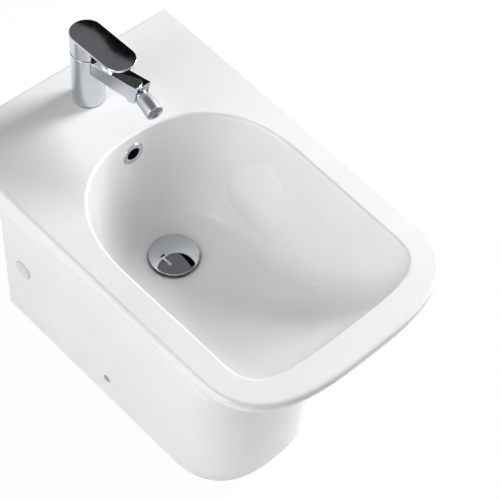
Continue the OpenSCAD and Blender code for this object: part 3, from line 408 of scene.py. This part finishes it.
# White glaze over vitreous china: refractive index of glass, a touch of waviness of
# 9 mm spacing where the glaze ran, and cloudy colour patches about 70 mm across.
glaze, tree = start_material("glazed_vitreous_china")
clouds = grain(tree, 70)
waves = grain(tree, 9, 1.0)
ripple = add_node(
    tree,
    "ShaderNodeBump",
    {"Strength": 0.25, "Distance": 0.00002},
    {"Height": waves.outputs["Fac"]},
)
surface(
    tree,
    {"IOR": 1.52, "Specular IOR Level": 0.5},
    {
        "Base Color": two_tone(tree, clouds.outputs["Fac"], "#EFEFF0", "#F3F3F3"),
        "Roughness": between(tree, waves.outputs["Fac"], 0.10, 0.14),
        "Normal": ripple.outputs["Normal"],
    },
)

bowl_steps, edge_steps, flare_steps, inner_steps = 36, 7, 64, 10
opening = whole(lambda i: bowl_point(i, 1))
rim = whole(lambda i: outer_point(i, RIM_H - RIM_EDGE))
foot = whole(lambda i: outer_point(i, 0))
flare_low = RIM_H - LIP_FRONT - FLARE_FRONT - FLARE_MARGIN
rings = []
for k in range(bowl_steps + 1):
    height, _ = quarter(k, bowl_steps)
    rings.append(whole(lambda i: bowl_point(i, height)))
for k in range(1, edge_steps + 1):
    outward, down = quarter(k, edge_steps)
    rings.append(at_height(grown(opening, BASIN_EDGE * outward), RIM_H - BASIN_EDGE * down))
rings.append(at_height(grown(opening, BASIN_EDGE + FLAT_START), RIM_H))
rings.append(at_height(inset(rim, RIM_EDGE + FLAT_START), RIM_H))
for k in range(edge_steps, 0, -1):
    inward, down = quarter(k, edge_steps)
    rings.append(at_height(inset(rim, RIM_EDGE * inward), RIM_H - RIM_EDGE * down))
for k in range(flare_steps, -1, -1):
    level = mix(flare_low, RIM_H - RIM_EDGE, k / flare_steps)
    rings.append(whole(lambda i: outer_point(i, level)))
rings.append(at_height(foot, FOOT_EDGE + 1))
for k in range(edge_steps + 1):
    inward, up = quarter(k, edge_steps)
    rings.append(at_height(inset(foot, FOOT_EDGE * inward), FOOT_EDGE * up))
rings.append(at_height(inset(foot, WALL), 0))
for k in range(inner_steps + 1):
    share = k / inner_steps
    hollow = whole(lambda i: outer_point(i, mix(flare_low, inner_top(i), share)))
    rings.append(inset(hollow, WALL))
for k in range(inner_steps):
    rings.append(whole(lambda i: under_point(i, k / inner_steps)))
rings.append(at_height(whole(lambda i: bowl_point(i, 0)), BASIN_FLOOR - WALL))
body = add_piece("china_body", *skin(rings))

OVERFLOW_H, OVERFLOW_BORE_R, OVERFLOW_SEAT_R = 367.0, 12.0, 14.4
DUCT_HALF, DUCT_DEEP, DUCT_WALL, DUCT_TOP, DUCT_END = 11.0, 12.0, 7.0, 379.0, -196.5
ACCESS_BACK, ACCESS_H, ACCESS_R = 41.7, 120.4, 13.0
FIXING_BACK, FIXING_H, FIXING_R = 210.0, 48.0, 6.0
BACK_HALF, BACK_TOP, PAST = 80.0, 250.0, 2.0
WASTE_WAY_L, OVERFLOW_WAY_L, RING_SEAT_L, RING_SEAT_D = 36.0, 36.0, 12.0, 0.5
seat, under = BASIN_FLOOR - RECESS_D, BASIN_FLOOR - RECESS_D - BORE_L
at_waste = Matrix.Translation((0, -WASTE_BACK, 0))
at_tap = Matrix.Translation((0, -TAP_BACK, RIM_H))
forward = Matrix.Rotation(math.pi / 2, 4, "X")
duct_front, duct_low = -(BASIN_REAR - WALL - 3), under + 10
duct_back, duct_high = duct_front + DUCT_DEEP, duct_low + DUCT_DEEP
duct_x, casing_x = (-DUCT_HALF, DUCT_HALF), (-DUCT_HALF - DUCT_WALL, DUCT_HALF + DUCT_WALL)
casing_back, casing_low = duct_back + DUCT_WALL, duct_low - DUCT_WALL
combine(
    body,
    [
        rod("waste_boss", BOSS_R, under, seat, at_waste),
        box_piece(
            "duct_wall",
            casing_x,
            (duct_front - DUCT_WALL, casing_back),
            (casing_low, DUCT_TOP + DUCT_WALL),
        ),
        box_piece(
            "duct_foot",
            casing_x,
            (DUCT_END, casing_back),
            (casing_low, duct_high + DUCT_WALL),
        ),
    ],
    "UNION",
)
lean = math.atan((FOOT_W_REAR - FOOT_W_FRONT) / 2 / FOOT_SIDE)


def on_flank(side, back, height):
    share = (back - WALL_CORNER) / (FOOT_SIDE - WALL_CORNER)
    x = mix(FOOT_W_REAR, FOOT_W_FRONT, share) / 2
    turned_out = Matrix.Rotation(-side * lean, 4, "Z")
    sideways = Matrix.Rotation(side * math.pi / 2, 4, "Y")
    return Matrix.Translation((side * x, -back, height)) @ turned_out @ sideways


level_bore = Matrix.Rotation(math.pi / 2, 4, "Y")
at_overflow = Matrix.Translation((0, duct_front + DUCT_DEEP / 2, OVERFLOW_H)) @ forward
at_ring_seat = Matrix.Translation((0, -BASIN_REAR + RING_SEAT_D, OVERFLOW_H)) @ forward
back_x, back_y = (-BACK_HALF, BACK_HALF), (-WALL - PAST, PAST)
cuts = [
    box_piece("duct", duct_x, (duct_front, duct_back), (duct_low, DUCT_TOP)),
    box_piece("duct_turn", duct_x, (DUCT_END, duct_back), (duct_low, duct_high)),
    rod("waste_recess", RECESS_R, seat, BASIN_FLOOR + PAST, at_waste),
    rod("waste_bore", WASTE_R, under - WASTE_WAY_L, BASIN_FLOOR + PAST, at_waste),
    rod("overflow_bore", OVERFLOW_BORE_R, 0, OVERFLOW_WAY_L, at_overflow),
    rod("overflow_seat", OVERFLOW_SEAT_R, 0, RING_SEAT_L, at_ring_seat),
    rod("tap_hole", TAP_HOLE, -DECK - PAST, PAST, at_tap),
    box_piece("back_opening", back_x, back_y, (-PAST, BACK_TOP)),
]
for side in (-1, 1):
    at_access = on_flank(side, ACCESS_BACK, ACCESS_H)
    cuts.append(rod("access_hole", ACCESS_R, -2 * WALL, WALL, at_access))
    at_fixing = Matrix.Translation((side * FOOT_W_REAR / 2, -FIXING_BACK, FIXING_H))
    cuts.append(rod("fixing_hole", FIXING_R, -3 * WALL, 3 * WALL, at_fixing @ level_bore))
combine(body, cuts, "DIFFERENCE")


def dress(piece, material, body_name, slot_name, *replaced):
    piece.data.materials.clear()
    piece.data.materials.append(material)
    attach(piece, body_name)
    if replaced:
        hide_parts(*replaced)


dress(body, glaze, "fixture", "glazed_ceramic", "ceramic_body")


# Chromed brass: cast, polished and plated, so it mirrors all that stands round it.
# Its only texture is a faint unevenness of the polish, about 12 mm across.
def rounded(points, steps=5, closed=False):
    out = []
    for k, (x, y, radius) in enumerate(points):
        ends = not closed and k in (0, len(points) - 1)
        if radius <= 0 or ends:
            out.append((x, y))
            continue
        p = Vector((x, y))
        a = (Vector(points[k - 1][:2]) - p).normalized()
        b = (Vector(points[(k + 1) % len(points)][:2]) - p).normalized()
        half = a.angle(b) / 2
        centre = p + (a + b).normalized() * radius / math.sin(half)
        toward_a, toward_b = a * radius / math.tan(half), b * radius / math.tan(half)
        u, w = p + toward_a - centre, p + toward_b - centre
        total = u.angle(w)
        for s in range(steps + 1):
            t = s / steps
            v = (u * math.sin((1 - t) * total) + w * math.sin(t * total)) / math.sin(total)
            out.append(tuple(centre + v))
    return out


METAL = {"Metallic": 1.0}
chrome = plain_finish("polished_chrome", 12, METAL, ("#CDD1D6", "#D3D7DB"), (0.03, 0.05))

# Faces of the lever that point downward, under its plate, are painted dark brown as painted
# shade, and their plating is made rougher.
lever_chrome, tree = start_material("lever_chrome")
polish = grain(tree, 12)
face = add_node(tree, "ShaderNodeNewGeometry")
face = add_node(tree, "ShaderNodeSeparateXYZ", None, {"Vector": face.outputs["Normal"]})
shaded_underside = add_node(
    tree, "ShaderNodeMath", {1: -0.6}, {0: face.outputs["Z"]}, operation="LESS_THAN"
)
haze = add_node(
    tree,
    "ShaderNodeMath",
    {1: 0.4},
    {0: shaded_underside.outputs[0], 2: between(tree, polish.outputs["Fac"], 0.03, 0.05)},
    operation="MULTIPLY_ADD",
)
surface(
    tree,
    METAL,
    {
        "Base Color": two_tone(tree, shaded_underside.outputs[0], "#D0D4D9", "#2C2624"),
        "Roughness": haze.outputs[0],
    },
)

# The nozzle's barrel is plated over a fine turned grain, so it stays satin.
satin_chrome = plain_finish(
    "satin_chrome", 0.7, METAL, ("#B9BDC0", "#C4C8CB"), (0.3, 0.38)
)

# The tap body stands on a thin gasket over the tap hole. Body, spout and the round
# boss under its end are one brass casting, with edges eased by the polishing wheel.
TAP_R, TAP_H, GASKET = 20.5, 79.6, 1.0
SPOUT_W, SPOUT_EDGE = 21.0, 0.8
SPOUT_BOSS_R, SPOUT_BOSS_OUT, SPOUT_BOSS_LOW, SPOUT_BOSS_TOP = 10.4, 86.5, 70.7, 79.7
CARTRIDGE_R, CARTRIDGE_LOW, NUT_R, NUT_LOW, BORE_TOP = 12.55, 38.0, 17.5, 66.0, 120.0
STUD_R, STUD_BACK, INLET_R, INLET_OUT, SOCKET_L = 4.0, 10.0, 5.0, 8.5, 13.0
BALL = Vector((0, -TAP_BACK - 96.7, RIM_H + 85.7))
BALL_POCKET_R, FACE_R, FACE_D, FACE_LEAN = 9.45, 9.5, 8.0, math.radians(12)
column = add_piece(
    "tap_casting",
    *turned(
        rounded([(0, GASKET, 0), (TAP_R, GASKET, 0.5), (TAP_R, TAP_H, 0.6), (0, TAP_H, 0)]),
        at_tap,
        FINE_STEPS,
    ),
)


def prism_faces(count):
    ends = [tuple(range(count)), tuple(range(count, 2 * count))]
    following = [(k + 1) % count for k in range(count)]
    return ends + [(k, n, count + n, count + k) for k, n in enumerate(following)]


side_view = [(6, 55.9), (6, 79.3), (TAP_R, 79.3), (103.3, 103.7), (97.565, 76.72)]
spout_sides = (-SPOUT_W / 2, SPOUT_W / 2)
corners = [(x, -TAP_BACK - d, RIM_H + h) for x in spout_sides for d, h in side_view]
spout = add_piece("spout", corners, prism_faces(len(side_view)))


def ease_edges(piece, width, segments=3, least_turn=20.0):
    tool = bmesh.new()
    tool.from_mesh(piece.data)
    sharp = [e for e in tool.edges if e.calc_face_angle(0) > math.radians(least_turn)]
    bmesh.ops.bevel(
        tool,
        geom=sharp,
        offset=width * MM,
        segments=segments,
        profile=0.5,
        affect="EDGES",
        clamp_overlap=True,
    )
    tool.to_mesh(piece.data)
    tool.free()


ease_edges(spout, SPOUT_EDGE)
boss = add_piece(
    "spout_boss",
    *turned(
        rounded(
            [
                (0, SPOUT_BOSS_LOW, 0),
                (SPOUT_BOSS_R, SPOUT_BOSS_LOW, 1.0),
                (SPOUT_BOSS_R, SPOUT_BOSS_TOP, 0),
                (0, SPOUT_BOSS_TOP, 0),
            ]
        ),
        Matrix.Translation((0, -TAP_BACK - SPOUT_BOSS_OUT, RIM_H)),
    ),
)
combine(column, [spout, boss], "UNION")
face_frame = Matrix.Translation(BALL) @ Matrix.Rotation(math.pi / 2 + FACE_LEAN, 4, "X")


def ball_profile(radius, low, high, steps=24):
    first, last = math.asin(low / radius), math.asin(high / radius)
    angles = [mix(first, last, k / steps) for k in range(steps + 1)]
    return [(radius * math.cos(a), radius * math.sin(a)) for a in angles]


whole_ball = ball_profile(BALL_POCKET_R, -BALL_POCKET_R, BALL_POCKET_R)
cartridge_bore = [
    (CARTRIDGE_R, CARTRIDGE_LOW),
    (CARTRIDGE_R, NUT_LOW),
    (NUT_R, NUT_LOW),
    (NUT_R, BORE_TOP),
]
cuts = [
    add_piece("ball_pocket", *turned(whole_ball, face_frame)),
    rod("face_recess", FACE_R, 0, FACE_D, face_frame),
    add_piece("cartridge_bore", *turned(cartridge_bore, at_tap, FINE_STEPS)),
    rod("stud_hole", STUD_R, 0, SOCKET_L, at_tap @ Matrix.Translation((0, STUD_BACK, 0))),
]
for side in (-1, 1):
    at_inlet = at_tap @ Matrix.Translation((side * INLET_OUT, 0, 0))
    cuts.append(rod("inlet", INLET_R, 0, SOCKET_L, at_inlet))
combine(column, cuts, "DIFFERENCE")
keep_flats(column)
dress(column, chrome, "fixture", "chrome", "tap_body")

# The lever is a hollow hub that sits over the cartridge, with a long round ended
# plate on top. It is cast in one, and its rear underside is cut away for the lift.
HUB_R, HUB_LOW, HUB_TOP, HOLLOW_R, HOLLOW_TOP = 20.5, 80.6, 108.0, 17.8, 97.0
STEM_BOSS_R, STEM_BOSS_LOW, STEM_HALF, STEM_LOW = 6.8, 88.0, 3.0, 78.0
SCREW_R, SCREW_H, SCREW_L = 2.5, 92.0, 22.5
PLATE_R, PLATE_REACH, PLATE_T = 20.6, 59.5, 3.5
PLATE_LOW, PLATE_RISE, LOW_EDGE, HIGH_EDGE = 106.9, math.radians(2.86), 0.7, 1.3
RELIEF_FRONT, RELIEF_RUN, RELIEF_HALF = -2.0, 24.5, 22.5
RELIEF_TURN = math.radians(19.5)
hub = add_piece(
    "lever",
    *turned(
        rounded(
            [
                (0, STEM_BOSS_LOW, 0),
                (STEM_BOSS_R, STEM_BOSS_LOW, 0.4),
                (STEM_BOSS_R, HOLLOW_TOP, 0),
                (HOLLOW_R, HOLLOW_TOP, 0),
                (HOLLOW_R, HUB_LOW, 0.3),
                (HUB_R, HUB_LOW, 0.5),
                (HUB_R, HUB_TOP, 0),
                (0, HUB_TOP, 0),
            ]
        ),
        at_tap,
        FINE_STEPS,
    ),
)


def stadium(radius, z, arc_steps=40):
    out = []
    for end, centre in ((0, 0.0), (1, -PLATE_REACH)):
        for k in range(arc_steps + 1):
            a = math.pi * k / arc_steps + math.pi * end
            out.append((radius * math.cos(a), centre + radius * math.sin(a), z))
    return out


rings = []
for k in range(6):
    up, inward = quarter(k, 5)
    rings.append(stadium(PLATE_R - LOW_EDGE * inward, LOW_EDGE * up))
for k in range(9):
    inward, down = quarter(k, 8)
    rings.append(stadium(PLATE_R - HIGH_EDGE * inward, PLATE_T - HIGH_EDGE * down))
lifted = at_tap @ Matrix.Translation((0, 0, PLATE_LOW))
tilted = lifted @ Matrix.Rotation(-PLATE_RISE, 4, "X")
plate_points, plate_faces = skin(rings)
plate = add_piece("lever_plate", [tilted @ Vector(p) for p in plate_points], plate_faces)
combine(hub, [plate], "UNION")
relief_front, base = -TAP_BACK + RELIEF_FRONT, RIM_H + HUB_LOW
relief_rear = relief_front + RELIEF_RUN
outline = [
    (relief_front, base),
    (relief_front, base - PAST),
    (relief_rear, base - PAST),
    (relief_rear, base + RELIEF_RUN * math.tan(RELIEF_TURN)),
]
corners = [(x, y, z) for x in (-RELIEF_HALF, RELIEF_HALF) for y, z in outline]
relief = add_piece("relief", corners, prism_faces(len(outline)))
stem_pocket = box_piece(
    "stem_pocket",
    (-STEM_HALF, STEM_HALF),
    (-TAP_BACK - STEM_HALF, -TAP_BACK + STEM_HALF),
    (RIM_H + STEM_LOW, RIM_H + HOLLOW_TOP),
)
backward = Matrix.Rotation(-math.pi / 2, 4, "X")
at_screw = at_tap @ Matrix.Translation((0, 0, SCREW_H)) @ backward
screw_way = rod("screw_way", SCREW_R, 0, SCREW_L, at_screw)
combine(hub, [relief, stem_pocket, screw_way], "DIFFERENCE")
keep_flats(hub)
dress(hub, lever_chrome, "lever", "chrome", "lever_handle")

# The swivel nozzle screws onto a polished ball that turns in the end of the spout.
# Its mouth holds the aerator, a little behind the rim.
NOZZLE_L, NOZZLE_GAP, NOZZLE_SWING, NOZZLE_TILT = 25.0, 7.0, -8.1, 6.9
BALL_R, BALL_BORE_R, NECK_R, NECK_END = 8.2, 2.8, 4.6, 14.0
BARREL_LOW_R, BARREL_R, MOUTH_R, MOUTH_LOW = 10.2, 10.8, 9.3, 8.0
nozzle_frame = (
    Matrix.Translation(BALL)
    @ Matrix.Rotation(math.radians(NOZZLE_SWING), 4, "Z")
    @ Matrix.Rotation(math.radians(90 + NOZZLE_TILT), 4, "X")
)
ball_low, ball_high = (math.sqrt(BALL_R**2 - r**2) for r in (BALL_BORE_R, NECK_R))
sphere = ball_profile(BALL_R, -ball_low, ball_high)
neck = [(NECK_R, NECK_END), (BALL_BORE_R, NECK_END)]
ball = add_piece("swivel_ball_polished", *turned(sphere + neck, nozzle_frame, closed=True))
dress(ball, chrome, "nozzle", "chrome", "swivel_ball")
shell = rounded(
    [
        (NECK_R, 0, 0.3),
        (BARREL_LOW_R, 0, 1.4),
        (BARREL_R, NOZZLE_L, 0.5),
        (MOUTH_R, NOZZLE_L, 0.3),
        (MOUTH_R, MOUTH_LOW, 0),
        (NECK_R, MOUTH_LOW, 0),
    ],
    closed=True,
)
at_shell = nozzle_frame @ Matrix.Translation((0, 0, NOZZLE_GAP))
nozzle = add_piece("nozzle_barrel", *turned(shell, at_shell, closed=True))
dress(nozzle, satin_chrome, "nozzle", "chrome", "nozzle_shell")

# The overflow ring is pressed chromed brass. Its sleeve pushes into the bore in the rear
# wall of the basin, and its inside is painted near black and rough as painted shade deep in
# the hole.
RING_HOLE_R, RING_R, RING_T, RING_BACK = 8.8, 15.5, 2.0, 140.0
SLEEVE_R, SLEEVE_L, SHADE_INSIDE_R = 11.8, 12.0, 9.0
ring_frame = Matrix.Translation((0, -RING_BACK, OVERFLOW_H)) @ forward
ring_profile = rounded(
    [
        (RING_HOLE_R, RING_T, 1.2),
        (RING_R, RING_T, 1.6),
        (RING_R, 0, 0.2),
        (SLEEVE_R, 0, 0),
        (SLEEVE_R, -SLEEVE_L, 0.3),
        (RING_HOLE_R, -SLEEVE_L, 0.3),
    ],
    closed=True,
)
overflow = add_piece("overflow_trim", *turned(ring_profile, ring_frame, closed=True))
dress(overflow, chrome, "fixture", "chrome", "overflow_ring")
# The faces inside the sleeve, round its axis, take a near black finish: painted shade in
# the overflow hole.
shaded_sleeve_inside = plain_finish(
    "shaded_sleeve_inside", 1.5, {"Metallic": 0.6}, ("#121212", "#24221E"), (0.5, 0.65)
)
overflow.data.materials.append(shaded_sleeve_inside)
for face in overflow.data.polygons:
    if (ring_frame.inverted() @ (face.center * PER_METRE)).xy.length < SHADE_INSIDE_R:
        face.material_index = 1

# The waste cap is a chromed brass dome, pressed hollow, with a rubber ring under its
# edge. A push sends it down on its seat and the next push lets it up.
CAP_LOW, CAP_R, CAP_EDGE, CAP_DOME = 241.8, 32.2, 2.2, 6.2
CAP_TURN, CAP_WALL, CAP_HUB_R, CAP_HUB_BORE_R = 0.6, 6.0, 8.0, 5.0
dome_r = (CAP_R**2 + CAP_DOME**2) / (2 * CAP_DOME)


def dome(radius, top):
    return top - dome_r + math.sqrt(dome_r**2 - radius**2)


dome_end, hollow_end = CAP_R - CAP_TURN, CAP_R - CAP_WALL
outside = [dome_end * k / 20 for k in range(21)]
inside = [mix(hollow_end, CAP_HUB_R, k / 12) for k in range(13)]
cap_edge = [
    (dome_end, dome(dome_end, CAP_EDGE + CAP_DOME), 0),
    (CAP_R, CAP_EDGE - 0.1, 0.5),
    (CAP_R, 0, 0.4),
    (hollow_end, 0, 0),
]
cap = add_piece(
    "waste_dome",
    *turned(
        [(r, dome(r, CAP_EDGE + CAP_DOME)) for r in outside]
        + rounded(cap_edge)[1:]
        + [(r, dome(r, CAP_DOME)) for r in inside]
        + [(CAP_HUB_R, 0), (CAP_HUB_BORE_R, 0), (CAP_HUB_BORE_R, CAP_EDGE), (0, CAP_EDGE)],
        Matrix.Translation((0, -WASTE_BACK, CAP_LOW)),
        FINE_STEPS,
    ),
)
dress(cap, chrome, "waste_cap_unit", "chrome", "waste_cap")

# Each side hole near the wall, where the floor fixings are reached, is closed by a
# moulded plastic cover in a pale grey, with a satin face and a short spigot behind.
cover_plastic, tree = start_material("satin_moulded_plastic")
satin = grain(tree, 2.5)
satin_bump = add_node(
    tree,
    "ShaderNodeBump",
    {"Strength": 0.2, "Distance": 0.00002},
    {"Height": satin.outputs["Fac"]},
)
surface(
    tree,
    {"IOR": 1.49},
    {
        "Base Color": two_tone(tree, satin.outputs["Fac"], "#DDE0D8", "#E2E5DE"),
        "Roughness": between(tree, satin.outputs["Fac"], 0.32, 0.4),
        "Normal": satin_bump.outputs["Normal"],
    },
)
COVER_R, COVER_T, SPIGOT_R, SPIGOT_BORE_R, SPIGOT_L = 14.5, 1.8, 12.8, 11.2, 9.0
for side, word in ((-1, "left"), (1, "right")):
    cover = add_piece(
        f"side_cover_{word}",
        *turned(
            rounded(
                [
                    (0, COVER_T, 0),
                    (COVER_R, COVER_T, 0.8),
                    (COVER_R, 0, 0.1),
                    (SPIGOT_R, 0, 0),
                    (SPIGOT_R, -SPIGOT_L, 0.3),
                    (SPIGOT_BORE_R, -SPIGOT_L, 0.3),
                    (SPIGOT_BORE_R, 0, 0),
                    (0, 0, 0),
                ]
            ),
            on_flank(side, ACCESS_BACK, ACCESS_H),
        ),
    )
    dress(cover, cover_plastic, "fixture", "cover_plastic", f"access_cover_{word}")

# The plunger's spring is cold wound stainless wire, seven turns round the plunger
# between the guide and its collar. It shortens as the cap goes down.
steel = plain_finish(
    "drawn_stainless_steel", 3, METAL, ("#A9ABAD", "#B7B9BB"), (0.22, 0.34)
)
spring_low, spring_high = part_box("plunger_spring")
coil_r, wire, turns, around, per_turn = 6.35, 0.4, 7, 8, 24
vertices, faces = [], []
low_z, high_z = spring_low.z * PER_METRE + wire, spring_high.z * PER_METRE - wire
for k in range(turns * per_turn + 1):
    a = math.tau * k / per_turn
    z = mix(low_z, high_z, k / (turns * per_turn))
    for j in range(around):
        b = math.tau * j / around
        r = coil_r + wire * math.cos(b)
        x, y = r * math.cos(a), r * math.sin(a) - WASTE_BACK
        vertices.append((x, y, z + wire * math.sin(b)))
for k in range(turns * per_turn):
    here, there = k * around, (k + 1) * around
    for j in range(around):
        n = (j + 1) % around
        faces.append((here + j, here + n, there + n, there + j))
last_ring = turns * per_turn * around
faces += [tuple(range(around)), tuple(last_ring + j for j in range(around))]
spring = add_piece("spring_wire", vertices, faces, 60.0)
dress(spring, steel, "fixture", "steel", "plunger_spring")
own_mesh(spring)

# The parts inside are turned, moulded or ground to size, and keep their plain shape.
# Each takes the finish of its real material.
brass = plain_finish("turned_brass", 1.5, METAL, ("#B9954F", "#C8A45E"), (0.2, 0.34))
white_plastic = plain_finish(
    "white_polypropylene", 4, {"IOR": 1.49}, ("#E9E9E6", "#EFEFED"), (0.3, 0.42)
)
dark_plastic = plain_finish(
    "dark_nylon", 3, {"IOR": 1.53}, ("#1D1E20", "#26272A"), (0.3, 0.45)
)
rubber = plain_finish("black_rubber", 2, {"IOR": 1.52}, ("#151515", "#1D1D1D"), (0.6, 0.75))
acetal = plain_finish(
    "white_acetal", 2, {"IOR": 1.48}, ("#E6E5DF", "#ECEBE6"), (0.25, 0.35)
)
alumina = plain_finish(
    "lapped_alumina", 0.8, {"IOR": 1.77}, ("#E9E2D2", "#EFE9DB"), (0.12, 0.2)
)
inner_parts = (
    (acetal, "cartridge_housing cartridge_core ball_cup plunger_guide cap_plunger"),
    (alumina, "fixed_disc moving_disc"),
    (brass, "lever_stem cartridge_nut stud_nut"),
    (steel, "stem_pivot_pin handle_screw aerator_screen fixing_stud clamp_plate"),
    (dark_plastic, "slip_ring handle_plug ball_retainer aerator_insert"),
    (rubber, "tap_gasket clamp_seal flange_seal under_seal cap_seal"),
    (rubber, "trap_inlet_seal trap_top_seal trap_outlet_seal"),
    (white_plastic, "back_nut trap_inlet_pipe trap_inlet_nut trap_body trap_top_nut"),
    (white_plastic, "trap_cup outlet_pipe trap_outlet_nut"),
    (chrome, "waste_body"),
)
for finish, names in inner_parts:
    for name in names.split():
        nodes_of[name].data.materials.clear()
        nodes_of[name].data.materials.append(finish)

# The floor and the air round the object are white, and the camera and the chrome see
# them as white. The lamps are large soft boxes, most of them at the two sides.
def seen_directly(tree):
    path = add_node(tree, "ShaderNodeLightPath")
    seen = path.outputs["Is Camera Ray"]
    for kind in ("Is Glossy Ray", "Is Transmission Ray"):
        links = {0: seen, 1: path.outputs[kind]}
        seen = add_node(tree, "ShaderNodeMath", None, links, operation="MAXIMUM").outputs[0]
    return seen


FLOOR_GLOW, AIR_LIGHT, reach = 0.94, 0.05, 6000
floor_white, tree = start_material("studio_floor")
share = add_node(
    tree, "ShaderNodeMath", {1: FLOOR_GLOW}, {0: seen_directly(tree)}, operation="MULTIPLY"
)
paper = add_node(tree, "ShaderNodeBsdfDiffuse", {"Color": linear("#F7F7F7")})
glow = add_node(tree, "ShaderNodeEmission", {"Color": (1, 1, 1, 1), "Strength": 1.0})
mixed = add_node(
    tree,
    "ShaderNodeMixShader",
    None,
    {0: share.outputs[0], 1: paper.outputs[0], 2: glow.outputs[0]},
)
add_node(tree, "ShaderNodeOutputMaterial", None, {"Surface": mixed.outputs[0]})
corners = [(-reach, -reach, 0), (reach, -reach, 0), (reach, reach, 0), (-reach, reach, 0)]
floor = add_piece("floor", corners, [(0, 1, 2, 3)])
floor.data.materials.append(floor_white)

world = bpy.data.worlds.new("studio_air")
bpy.context.scene.world = world
world.use_nodes = True
tree = world.node_tree
tree.nodes.clear()
seen = seen_directly(tree)
dim = add_node(
    tree, "ShaderNodeBackground", {"Color": linear("#F4F6F8"), "Strength": AIR_LIGHT}
)
white = add_node(tree, "ShaderNodeBackground", {"Color": (1, 1, 1, 1), "Strength": 1.0})
links = {0: seen, 1: dim.outputs[0], 2: white.outputs[0]}
mixed = add_node(tree, "ShaderNodeMixShader", None, links)
add_node(tree, "ShaderNodeOutputWorld", None, {"Surface": mixed.outputs[0]})

LAMPS_AIM = Vector((0, -0.25, 0.25))
for name, place, size, power in (
    ("left_box", (-2.2, -0.3, 0.9), (1.4, 1.2), 20.0),
    ("left_high_box", (-1.7, -0.1, 1.8), (1.3, 1.3), 15.5),
    ("right_box", (2.2, -0.53, 1.0), (0.8, 0.8), 25.0),
    ("right_high_box", (1.8, -0.45, 1.6), (0.8, 0.8), 42.0),
    ("right_front_box", (1.6, -1.7, 1.2), (1.2, 1.2), 5.5),
    ("top_box", (0, -0.3, 2.5), (1.3, 1.3), 4.0),
):
    lamp = bpy.data.lights.new(name, "AREA")
    lamp.shape, lamp.energy = "RECTANGLE", power
    lamp.size, lamp.size_y = size
    soft_box = bpy.data.objects.new(name, lamp)
    bpy.context.scene.collection.objects.link(soft_box)
    soft_box.location = place
    aim = LAMPS_AIM - Vector(place)
    soft_box.rotation_euler = aim.to_track_quat("-Z", "Y").to_euler()
    soft_box.visible_camera = False


# Dark cards hang over and behind the tap, out of the camera's sight. Only shiny surfaces
# mirror them, which gives the flat tops of the tap their deep tone.
def hang_card(name, shade_name, code, outline):
    shade, tree = start_material(shade_name)
    fibre = grain(tree, 60)
    colour = two_tone(tree, fibre.outputs["Fac"], code, code)
    glow = add_node(tree, "ShaderNodeEmission", {"Strength": 1.0}, {"Color": colour})
    add_node(tree, "ShaderNodeOutputMaterial", None, {"Surface": glow.outputs[0]})
    corners = [Vector(p) * PER_METRE for p in outline]
    made = add_piece(name, corners, [tuple(range(len(corners)))])
    made.data.materials.append(shade)
    made.visible_camera = made.visible_diffuse = made.visible_shadow = False
    made.visible_transmission = False


CEILING_Z, SIDE_Z, SIDE_X, SIDE_FRONT = 1.66, 1.60, 1.15, -0.6
WAVE_X, WAVE_SIZE, WAVE_RATE = 0.722, 0.008, 40
side_edge = [SIDE_FRONT + 0.01 * k for k in range(201)]
wavy = [(WAVE_X + WAVE_SIZE * math.sin(WAVE_RATE * y), y, SIDE_Z) for y in side_edge]
hang_card(
    "grey_ceiling",
    "grey_card",
    "#737174",
    [(x, y, CEILING_Z) for x, y in ((-1.3, -1.5), (1.7, -1.5), (1.7, 1.8), (-1.3, 1.8))],
)
hang_card(
    "black_side",
    "black_card",
    "#0E0D0D",
    [(SIDE_X, SIDE_FRONT, SIDE_Z), *wavy, (SIDE_X, 1.4, SIDE_Z)],
)
hang_card(
    "brown_back",
    "brown_card",
    "#1C1615",
    [(0.20, 1.38, 0.70), (1.25, 0.97, 0.70), (1.25, 0.97, 1.45), (0.20, 1.38, 1.45)],
)

# The camera stands to the left and well above, as in the picture.
AZIMUTH, ELEVATION, ROLL = math.radians(-46.71), math.radians(53.10), math.radians(5.25)
CAMERA_AIM, CAMERA_DISTANCE = Vector((0.04702, -0.30337, 0.3)), 1.83563
SENSOR_W, FOCAL, SHIFT = 36.0, 108.897, (0.00112, -0.0018)
back = Vector(
    (
        math.sin(AZIMUTH) * math.cos(ELEVATION),
        -math.cos(AZIMUTH) * math.cos(ELEVATION),
        math.sin(ELEVATION),
    )
)
right = Vector((math.cos(AZIMUTH), math.sin(AZIMUTH), 0))
up = right.cross(-back)
rolled_right = right * math.cos(ROLL) + up * math.sin(ROLL)
rolled_up = up * math.cos(ROLL) - right * math.sin(ROLL)
lens = bpy.data.cameras.new("camera")
lens.sensor_width, lens.lens = SENSOR_W, FOCAL
lens.shift_x, lens.shift_y = SHIFT
lens.clip_start, lens.clip_end = 0.05, 50.0
camera = bpy.data.objects.new("camera", lens)
bpy.context.scene.collection.objects.link(camera)
turn = Matrix((rolled_right, rolled_up, back)).transposed().to_4x4()
turn.translation = CAMERA_AIM + back * CAMERA_DISTANCE
camera.matrix_world = turn
bpy.context.scene.camera = camera
bpy.context.scene.view_settings.view_transform = "Standard"
